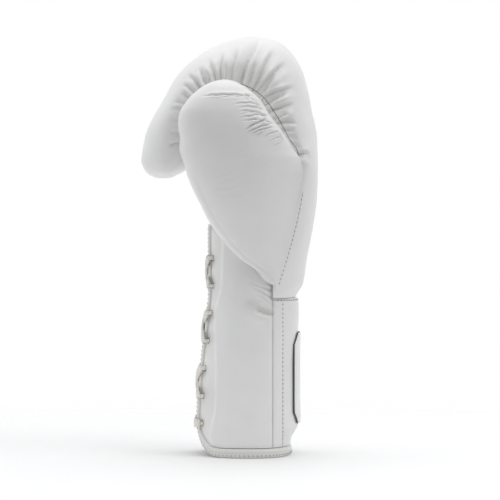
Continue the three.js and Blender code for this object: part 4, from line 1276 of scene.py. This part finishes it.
def flat_lace(size, trim, material):
    """One flat braid through all the eyelets, crossing the slit outside."""
    right, bar = lace_stops(size, trim, 1)
    left, _ = lace_stops(size, trim, -1)
    stops = np.array([*right[::-1], bar, *left], float)
    point, outward = cuff_places(size, stops[:, 0], stops[:, 1], size.cuff_wall / 2)
    centres = point + outward * stops[:, 2:3]
    path, carried = through(centres, np.concatenate([outward, stops[:, 3:4]], axis=1), 12)
    outward, flat = unit(carried[:, :3]), carried[:, 3:4]
    run = unit(np.gradient(path, axis=0))
    aside = unit(np.stack([-outward[:, 1], outward[:, 0], 0 * outward[:, 0]], -1))
    steep = smooth(np.abs(dot(run, outward)))[:, None]
    cross = np.cross(outward, run)
    across = mix(cross, aside * np.sign(dot(cross, aside))[:, None], steep)
    across = unit(across - run * dot(across, run)[:, None])
    for i in range(1, len(across)):
        if across[i] @ across[i - 1] < 0:
            across[i] = -across[i]
    up = unit(np.cross(run, across))
    wide = mix(trim.lace_thickness * 1.5, trim.lace_width, flat) / 2
    thick = mix(trim.lace_thickness * 1.3, trim.lace_thickness, flat) / 2
    c, s = cos_sin(all_round(28))
    rings = (
        path[:, None]
        + across[:, None] * (wide * bent(c, 0.75))[..., None]
        + up[:, None] * (thick * bent(s, 0.6))[..., None]
    )
    piece = loft("flat_lace", rings)
    along = length_along(path)
    mark(piece, "along", np.broadcast_to(along, rings.shape[:2]))
    mark(piece, "across", np.broadcast_to(wide * c, rings.shape[:2]))
    print(f"lace {along[-1, 0] * 1000:.0f} mm")
    dress(piece, material, ["lace"], sharp=60)


# The patch


def bare_patch(size, trim, material, edge_material):
    """The raised patch on the back of the cuff, bent to it, with its corners cut off."""
    rows, columns = 72, 60
    up = np.linspace(0, 1, rows)
    rise = up * trim.patch_height
    from_end = np.minimum(rise, trim.patch_height - rise)
    half = trim.patch_width / 2 - np.maximum(trim.patch_corner - from_end, 0)
    u = np.linspace(-1, 1, columns)[None, :]
    z = trim.patch_bottom + rise
    middle = np.array([half_round(size, level) for level in z])
    distance = np.where(u < 0, -1, 1) * (middle[:, None] - np.abs(u) * half[:, None])
    point, outward = cuff_places(size, distance, z[:, None], 0.0)
    side = np.minimum((1 - np.abs(u)) * half[:, None], from_end[:, None])
    round_off = PATCH_BEVEL * (1 - np.clip(side / (1.4 * PATCH_BEVEL), 0, 1)) ** 2
    top = trim.patch_seat + trim.patch_thickness - round_off
    rim = soft_line(side - PATCH_RIM_PLACE, PATCH_RIM)
    inner = point + outward * trim.patch_seat
    outer = point + outward * (top - rim)[..., None]
    piece = loft("bare_patch", np.concatenate([inner, outer[:, ::-1]], axis=1))
    dress(piece, material, ["cuff_patch"])
    piece.data.materials.append(edge_material)
    # faces that look along the leather, up or down belong to the cut edge
    centre = np.array([face.center for face in piece.data.polygons]) - SHIFT
    normal = np.array([face.normal for face in piece.data.polygons])
    facing = dot(normal[:, :2], unit(centre[:, :2]))
    edge = (facing < 0.45) | (np.abs(normal[:, 2]) > 0.6)
    piece.data.polygons.foreach_set("material_index", edge.astype(np.int32))


# Nodes


def fill_inputs(tree, node, inputs):
    """Gives each named socket of a node its value, or links it to another node's socket."""
    for key, value in inputs.items():
        if isinstance(value, bpy.types.NodeSocket):
            tree.links.new(value, node.inputs[key])
        else:
            node.inputs[key].default_value = value


def add_node(tree, kind, inputs=None, **settings):
    node = tree.nodes.new(kind)
    for name, value in settings.items():
        setattr(node, name, value)
    fill_inputs(tree, node, inputs or {})
    return node


def group_tree(name, kind, inputs, outputs):
    """A node group with named sockets of the given types, what it is given and what it puts out."""
    tree = bpy.data.node_groups.new(name, kind)
    for in_out, sockets in (("INPUT", inputs), ("OUTPUT", outputs)):
        for label, socket_type in sockets.items():
            tree.interface.new_socket(label, in_out=in_out, socket_type="NodeSocket" + socket_type)
    return tree, add_node(tree, "NodeGroupInput").outputs, add_node(tree, "NodeGroupOutput")


def math_node(tree, operation, first, second=0.0):
    return add_node(tree, "ShaderNodeMath", {0: first, 1: second}, operation=operation).outputs[0]


def weighed(tree, total, *parts, clamp=False):
    """A number plus sockets, each times its weight."""
    for socket, weight in parts:
        node = add_node(tree, "ShaderNodeMath", {0: socket, 1: weight, 2: total}, operation="MULTIPLY_ADD")
        total = node.outputs[0]
    node.use_clamp = clamp
    return total


def noise_node(tree, vector, scale, detail, kind="FBM"):
    inputs = {"Vector": vector, "Scale": scale, "Detail": detail}
    return add_node(tree, "ShaderNodeTexNoise", inputs, noise_type=kind).outputs["Fac"]


# Stitches


def stitch_tree():
    """Lays thread stitches along a line, with a dark bead of painted shade for a needle hole between each
    two.
    """
    inputs = {"Geometry": "Geometry", "Pitch": "Float", "Thread": "Float"}
    inputs.update({"Thread Material": "Material", "Hole Material": "Material"})
    tree, given, result = group_tree("stitch_run", "GeometryNodeTree", inputs, {"Geometry": "Geometry"})
    line = add_node(tree, "GeometryNodeMeshToCurve", {"Mesh": given["Geometry"]}).outputs["Curve"]
    # the first hole lies half a pitch along
    shortened = add_node(tree, "GeometryNodeTrimCurve", {"Curve": line}, mode="LENGTH")
    start = math_node(tree, "MULTIPLY", given["Pitch"], 0.5)
    end = add_node(tree, "GeometryNodeCurveLength", {"Curve": line}).outputs["Length"]
    for name, value in (("Start", start), ("End", end)):
        socket = [s for s in shortened.inputs if s.name == name and s.enabled][-1]
        tree.links.new(value, socket)
    join = add_node(tree, "GeometryNodeJoinGeometry")
    for kind, curve in (("Thread", line), ("Hole", shortened.outputs["Curve"])):
        long, thick = STITCH_SHAPES[kind]
        spaced = {"Curve": curve, "Length": given["Pitch"]}
        even = add_node(tree, "GeometryNodeResampleCurve", spaced, mode="LENGTH")
        tangent = add_node(tree, "GeometryNodeInputTangent").outputs["Tangent"]
        aim = add_node(tree, "FunctionNodeAlignRotationToVector", {"Vector": tangent}, axis="X")
        bead = add_node(tree, "GeometryNodeMeshUVSphere", {"Segments": 7, "Rings": 5, "Radius": 1.0})
        scale = add_node(tree, "ShaderNodeCombineXYZ", {
            "X": math_node(tree, "MULTIPLY", given["Pitch"], long),
            "Y": math_node(tree, "MULTIPLY", given["Thread"], thick),
            "Z": math_node(tree, "MULTIPLY", given["Thread"], thick),
        })
        copies = add_node(tree, "GeometryNodeInstanceOnPoints", {
            "Points": even.outputs["Curve"],
            "Instance": bead.outputs["Mesh"],
            "Rotation": aim.outputs["Rotation"],
            "Scale": scale.outputs["Vector"],
        })
        real = add_node(tree, "GeometryNodeRealizeInstances", {"Geometry": copies.outputs["Instances"]})
        painted = {"Geometry": real.outputs["Geometry"], "Material": given[kind + " Material"]}
        paint = add_node(tree, "GeometryNodeSetMaterial", painted)
        tree.links.new(paint.outputs["Geometry"], join.inputs["Geometry"])
    tree.links.new(join.outputs["Geometry"], result.inputs["Geometry"])
    return tree


def leather_trees(names):
    graph = bpy.context.evaluated_depsgraph_get()
    return [BVHTree.FromObject(bpy.data.objects[name], graph) for name in names]


def nearest(hits):
    """The place of the nearest hit. A miss has no place."""
    return np.array(min((hit for hit in hits if hit[0]), key=lambda hit: hit[3])[0])


def surface_finder(*names):
    """Finds the nearest leather to a point, on the named pieces."""
    trees = leather_trees(names)
    return lambda point: nearest(tree.find_nearest(Vector(point)) for tree in trees)


def side_finder(side, *names):
    """Finds the outermost leather at a place seen from one side of the glove."""
    trees = leather_trees(names)

    def find(point):
        start = Vector((point[0], side * 0.3, point[2]))
        return nearest(tree.ray_cast(start, Vector((0, -side, 0))) for tree in trees)

    return find


def stitch_run(name, runs, trim, materials, tree):
    """Stitches along lines of points. runs holds each line with what finds the leather under it."""
    points, edges = [], []
    for finder, run in runs:
        for i, point in enumerate(run):
            points.append(finder(point + SHIFT).tolist())
            if i:
                edges.append((len(points) - 2, len(points) - 1))
    mesh = bpy.data.meshes.new(name)
    mesh.from_pydata(points, edges, [])
    piece = bpy.data.objects.new(name, mesh)
    bpy.context.scene.collection.objects.link(piece)
    modifier = piece.modifiers.new("stitches", "NODES")
    modifier.node_group = tree
    inputs = {item.name: item.identifier for item in tree.interface.items_tree if item.in_out == "INPUT"}
    modifier[inputs["Pitch"]] = trim.stitch_pitch
    modifier[inputs["Thread"]] = trim.thread
    modifier[inputs["Thread Material"]] = materials[0]
    modifier[inputs["Hole Material"]] = materials[1]
    graph = bpy.context.evaluated_depsgraph_get()
    graph.update()
    made = bpy.data.meshes.new_from_object(piece.evaluated_get(graph))
    piece.modifiers.clear()
    piece.data = made
    bpy.data.meshes.remove(mesh)
    made.shade_smooth()
    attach(piece, BODY)


def stitch_pieces(size, trim, materials):
    tree = stitch_tree()

    def sew(name, *runs, slot="leather"):
        stitch_run(name, runs, trim, materials, tree)

    z = np.linspace(trim.tape_height + 0.002, size.cuff_length - 0.005, 60)
    row = spread(size.side_seam + size.stitch_inset, 0.0, z)
    sew("cuff_side_stitches", *((side_finder(side, "cuff_back_panel"), row) for side in (-1, 1)))

    # down the back edge of the thumb
    seam_x, seam_z = np.array(THUMB_SEAM[1:]).T
    at, places = np.linspace(0, 1, 80), np.linspace(0, 1, len(seam_x))
    x = np.interp(at, places, seam_x) * size.thumb_width
    z = size.cuff_length + np.interp(at, places, seam_z) * size.thumb_length
    sew("thumb_seam_stitches", (side_finder(-1, "padded_back", "padded_thumb"), spread(x, 0.0, z)))

    # along the wrist seam on the back
    ring = cuff_surface(size, np.full(90, size.cuff_length - 0.0016), np.linspace(-62, 62, 90))
    sew("wrist_stitches", (surface_finder("cuff_back_panel"), ring))

    # beside the gathers, on the palm's side of the seam that the thumb leaves open
    section = mitt_sections(size, np.linspace(0.35, 3.1, 240))
    _, drawn = both_gathers(size, section, 0 * section["seam"])
    edge = section["half"] * valley(section, 90) - drawn
    run = placed(section, section["seam"] - 0.0026, edge)[:, 0]
    sew("palm_seam_stitches", (surface_finder("palm_leather"), run))

    # along the tape, outside
    point, outward, inwards, thick = tape_frame(size, trim)
    line = point + outward * thick + inwards * trim.tape_height * 0.24
    sew("tape_stitches", (surface_finder("edge_binding"), line[4:-4]), slot="tape")


# Materials


def leather_grain():
    """Fine pebbled grain with pores, soft creasing and cloudy tone, at its true scale in metres. The tone
    also darkens with the fold mark, as painted shade in folds and creases.
    """
    inputs = {"Vector": "Vector", "Fold": "Float", "Grain": "Float", "Creasing": "Float"}
    outputs = {"Height": "Float", "Tone": "Float", "Roughness": "Float"}
    tree, given, result = group_tree("leather_grain", "ShaderNodeTree", inputs, outputs)
    vector, fold = given["Vector"], given["Fold"]
    cells = {"Vector": vector, "Scale": PEBBLES, "Smoothness": 0.7}
    pebble = add_node(tree, "ShaderNodeTexVoronoi", cells, feature="SMOOTH_F1").outputs["Distance"]
    pores = noise_node(tree, vector, PORES, 2)
    creases = noise_node(tree, vector, FINE_CREASES, 5, "RIDGED_MULTIFRACTAL")
    cloud = noise_node(tree, vector, CLOUDS, 4)
    grain = math_node(tree, "MULTIPLY", weighed(tree, 0.0, (pebble, -0.55), (pores, 0.3)), given["Grain"])
    soft = math_node(tree, "MULTIPLY", creases, given["Creasing"])
    fill_inputs(tree, result, {
        "Height": weighed(tree, 0.0, (grain, 1), (soft, -0.5)),
        # random cloudy tone, darkened by the fold mark as painted shade in creases
        "Tone": weighed(tree, -0.135, (cloud, 0.3), (fold, 0.6), clamp=True),
        "Roughness": weighed(tree, 0.3, (cloud, 0.16), (fold, 0.12)),
    })
    return tree


def new_material(name):
    material = bpy.data.materials.new(name)
    material.use_nodes = True
    tree = material.node_tree
    return material, tree, next(node for node in tree.nodes if node.type == "BSDF_PRINCIPLED")


def object_place(tree):
    return add_node(tree, "ShaderNodeTexCoord").outputs["Object"]


def read_mark(tree, name):
    return add_node(tree, "ShaderNodeAttribute", attribute_name=name).outputs["Fac"]


def blend_colours(tree, amount, first, second):
    inputs = {0: amount, 6: (*first, 1), 7: (*second, 1)}
    return add_node(tree, "ShaderNodeMix", inputs, data_type="RGBA").outputs[2]


def bump(tree, height, strength, distance):
    inputs = {"Height": height, "Strength": strength, "Distance": distance}
    return add_node(tree, "ShaderNodeBump", inputs).outputs["Normal"]


def leather_material(name, grain, clean, crease_shade, grain_amount=1.0, creasing=1.0, coat=0.12):
    _, tree, shader = new_material(name)
    given = {"Vector": object_place(tree), "Fold": read_mark(tree, "fold")}
    given.update({"Grain": grain_amount, "Creasing": creasing})
    surface = add_node(tree, "ShaderNodeGroup", given, node_tree=grain).outputs
    fill_inputs(tree, shader, {
        # the fold mark blends in the painted crease shade colour
        "Base Color": blend_colours(tree, surface["Tone"], clean, crease_shade),
        "Roughness": surface["Roughness"],
        "Specular IOR Level": 0.45,
        "Coat Weight": coat,
        "Coat Roughness": 0.28,
        "Normal": bump(tree, surface["Height"], 0.35, 0.00025),
    })


def lace_material(look):
    """A flat braid: strands cross on a slant in both directions."""
    _, tree, shader = new_material("lace_braid")
    along, across = read_mark(tree, "along"), read_mark(tree, "across")
    strands = []
    for slope in (1.1, -1.1):
        slant = weighed(tree, 0.0, (along, 1), (across, slope))
        wave = math_node(tree, "SINE", math_node(tree, "MULTIPLY", slant, 2 * math.pi / BRAID_PITCH))
        strands.append(weighed(tree, 0.5, (wave, 0.5)))
    weave = math_node(tree, "MAXIMUM", *strands)
    fuzz = noise_node(tree, object_place(tree), 3000, 3)
    fill_inputs(tree, shader, {
        "Base Color": blend_colours(tree, weave, look.lace_shade, look.lace),
        "Roughness": 0.85,
        "Sheen Weight": 0.25,
        "Normal": bump(tree, weighed(tree, 0.0, (weave, 1), (fuzz, 0.3)), 0.8, 0.0004),
    })


def thread_material(name, paint, roughness):
    _, tree, shader = new_material(name)
    fibre = noise_node(tree, object_place(tree), 4000, 2)
    fill_inputs(tree, shader, {
        "Base Color": blend_colours(tree, fibre, paint, tuple(0.8 * c for c in paint)),
        "Roughness": roughness,
        "Normal": bump(tree, fibre, 0.3, 0.0001),
    })


def glove_materials(look):
    """Each finish by name, made once."""
    if "white_leather" in bpy.data.materials:
        return {m.name: m for m in bpy.data.materials}
    grain = leather_grain()
    leather_material("white_leather", grain, look.leather, look.crease_shade)
    leather_material("tape_leather", grain, look.tape, look.crease_shade, 0.7, 0.6, 0.08)
    leather_material("patch_face", grain, look.patch, look.crease_shade, 0.5, 0.3, 0.1)
    thread_material("patch_side", look.patch_edge, 0.6)
    lace_material(look)
    thread_material("white_thread", look.thread, 0.7)
    thread_material("needle_hole", look.needle_hole, 0.9)
    return {m.name: m for m in bpy.data.materials}


# Operators


class GloveMaker:
    bl_options = {"REGISTER", "UNDO"}

    def execute(self, context):
        scene = context.scene
        self.build(scene.glove_sizes, scene.glove_trim, glove_materials(scene.glove_look))
        return {"FINISHED"}


class GLOVE_OT_hand(GloveMaker, bpy.types.Operator):
    """Adds the padded back with its gathers, and the leather of the palm"""

    bl_idname = "glove.hand"
    bl_label = "Add Hand"

    def build(self, size, trim, finish):
        padded_back(size, finish["white_leather"])
        palm_leather(size, finish["white_leather"])


class GLOVE_OT_thumb(GloveMaker, bpy.types.Operator):
    """Adds the padded thumb with its creases"""

    bl_idname = "glove.thumb"
    bl_label = "Add Thumb"

    def build(self, size, trim, finish):
        padded_thumb(size, finish["white_leather"])


class GLOVE_OT_cuff(GloveMaker, bpy.types.Operator):
    """Adds the back panel and the two flaps of the cuff, with their eyelets"""

    bl_idname = "glove.cuff"
    bl_label = "Add Cuff"

    def build(self, size, trim, finish):
        cuff_pieces(size, trim, finish["white_leather"])


class GLOVE_OT_tape(GloveMaker, bpy.types.Operator):
    """Adds the tape folded over the slit's edges and the hem"""

    bl_idname = "glove.tape"
    bl_label = "Add Edge Tape"

    def build(self, size, trim, finish):
        edge_binding(size, trim, finish["tape_leather"])


class GLOVE_OT_lace(GloveMaker, bpy.types.Operator):
    """Threads the flat lace through the eyelets"""

    bl_idname = "glove.lace"
    bl_label = "Add Lace"

    def build(self, size, trim, finish):
        flat_lace(size, trim, finish["lace_braid"])


class GLOVE_OT_patch(GloveMaker, bpy.types.Operator):
    """Adds the bare patch on the back of the cuff"""

    bl_idname = "glove.patch"
    bl_label = "Add Patch"

    def build(self, size, trim, finish):
        bare_patch(size, trim, finish["patch_face"], finish["patch_side"])


class GLOVE_OT_stitches(GloveMaker, bpy.types.Operator):
    """Sews the seams"""

    bl_idname = "glove.stitches"
    bl_label = "Add Stitches"

    def build(self, size, trim, finish):
        stitch_pieces(size, trim, (finish["white_thread"], finish["needle_hole"]))


def area_light(name, place, energy):
    data = bpy.data.lights.new(name, "AREA")
    data.shape = "DISK"
    data.size = LAMP_WIDTH
    data.energy = energy
    light = bpy.data.objects.new(name, data)
    light.location = place
    light.rotation_euler = (Vector(LAMP_TARGET) - Vector(place)).to_track_quat("-Z", "Y").to_euler()
    bpy.context.scene.collection.objects.link(light)


def pale_floor(look):
    """A round floor that fades out into the white room."""
    rows, sides = 40, 96
    radius = np.linspace(0.002, FLOOR_RADIUS, rows)[:, None]
    c, s = cos_sin(all_round(sides))
    index = np.arange(rows * sides).reshape(rows, sides)
    turned = np.roll(index, -1, axis=1)
    quads = np.stack([index[:-1], index[1:], turned[1:], turned[:-1]], -1).reshape(-1, 4)
    floor = mesh_object("floor", spread(radius * c, radius * s, 0.0), quads.tolist() + [index[0].tolist()])
    material, tree, shader = new_material("floor_paint")
    place = add_node(tree, "ShaderNodeNewGeometry").outputs["Position"]
    away = add_node(tree, "ShaderNodeVectorMath", {0: place}, operation="LENGTH").outputs["Value"]
    ends = {"Value": away, "From Min": FLOOR_SOLID, "From Max": FLOOR_GONE, "To Min": 1, "To Max": 0}
    fade = add_node(tree, "ShaderNodeMapRange", ends, interpolation_type="SMOOTHSTEP")
    grain = noise_node(tree, place, 60, 3)
    fill_inputs(tree, shader, {
        "Base Color": blend_colours(tree, grain, look.floor, tuple(0.98 * c for c in look.floor)),
        "Alpha": fade.outputs["Result"],
        "Roughness": 0.7,
    })
    floor.data.materials.append(material)


def white_room():
    """Soft light from all round: strongest from above, then from behind, and dimmest in front."""
    world = bpy.data.worlds.new("white_room")
    bpy.context.scene.world = world
    world.use_nodes = True
    tree = world.node_tree
    tree.nodes.clear()

    def vector(operation, *inputs):
        given = dict(enumerate(inputs))
        return add_node(tree, "ShaderNodeVectorMath", given, operation=operation).outputs

    seen = add_node(tree, "ShaderNodeBackground", {"Color": (1, 1, 1, 1), "Strength": 1.0})
    place = add_node(tree, "ShaderNodeTexCoord").outputs["Generated"]
    sign = vector("SIGN", place)[0]
    level = vector("MULTIPLY_ADD", sign, (LIGHT_PLUS - LIGHT_MINUS) / 2, (LIGHT_PLUS + LIGHT_MINUS) / 2)[0]
    strength = vector("DOT_PRODUCT", vector("MULTIPLY", place, place)[0], level)["Value"]
    lit = add_node(tree, "ShaderNodeBackground", {"Color": (0.985, 0.99, 1, 1), "Strength": strength})
    looked_at = add_node(tree, "ShaderNodeLightPath").outputs["Is Camera Ray"]
    both = add_node(tree, "ShaderNodeMixShader", {0: looked_at, 1: lit.outputs[0], 2: seen.outputs[0]})
    add_node(tree, "ShaderNodeOutputWorld", {"Surface": both.outputs[0]})


class GLOVE_OT_stage(bpy.types.Operator):
    """Sets up the camera, the soft lights and the pale floor"""

    bl_idname = "glove.stage"
    bl_label = "Add Stage"
    bl_options = {"REGISTER", "UNDO"}

    def execute(self, context):
        scene = context.scene
        camera_data = bpy.data.cameras.new("camera")
        camera_data.lens = CAMERA_LENS
        camera_data.sensor_width = CAMERA_SENSOR
        camera_data.sensor_fit = "HORIZONTAL"
        camera_data.clip_end = 50
        camera = bpy.data.objects.new("camera", camera_data)
        camera.location = (SHIFT[0], SHIFT[1] - CAMERA_DISTANCE, CAMERA_HEIGHT)
        camera.rotation_euler = (math.radians(90), 0, 0)
        scene.collection.objects.link(camera)
        scene.camera = camera
        for name, (place, energy) in LAMPS.items():
            area_light(name, place, energy)
        white_room()
        pale_floor(scene.glove_look)
        scene.view_settings.view_transform = "Standard"
        scene.view_settings.look = "None"
        return {"FINISHED"}


class GLOVE_PT_panel(bpy.types.Panel):
    """Lists the glove's pieces"""

    bl_idname = "GLOVE_PT_panel"
    bl_label = "Boxing Glove"
    bl_space_type = "VIEW_3D"
    bl_region_type = "UI"
    bl_category = "Glove"

    def draw(self, context):
        for operator in OPERATORS:
            self.layout.operator(operator.bl_idname)
        for group in (context.scene.glove_sizes, context.scene.glove_trim, context.scene.glove_look):
            box = self.layout.box()
            for name in group.__annotations__:
                box.prop(group, name)


OPERATORS = (
    GLOVE_OT_stage,
    GLOVE_OT_hand,
    GLOVE_OT_thumb,
    GLOVE_OT_cuff,
    GLOVE_OT_tape,
    GLOVE_OT_lace,
    GLOVE_OT_patch,
    GLOVE_OT_stitches,
)
CLASSES = (GloveSizes, GloveTrim, GloveLook, *OPERATORS, GLOVE_PT_panel)


def register():
    for item in CLASSES:
        bpy.utils.register_class(item)
    bpy.types.Scene.glove_sizes = PointerProperty(type=GloveSizes)
    bpy.types.Scene.glove_trim = PointerProperty(type=GloveTrim)
    bpy.types.Scene.glove_look = PointerProperty(type=GloveLook)


def unregister():
    for name in ("glove_sizes", "glove_trim", "glove_look"):
        delattr(bpy.types.Scene, name)
    for item in reversed(CLASSES):
        bpy.utils.unregister_class(item)


def main():
    register()
    bpy.ops.glove.stage()
    bpy.ops.glove.hand()
    bpy.ops.glove.thumb()
    bpy.ops.glove.cuff()
    bpy.ops.glove.tape()
    bpy.ops.glove.lace()
    bpy.ops.glove.patch()
    bpy.ops.glove.stitches()


if __name__ == "__main__":
    main()
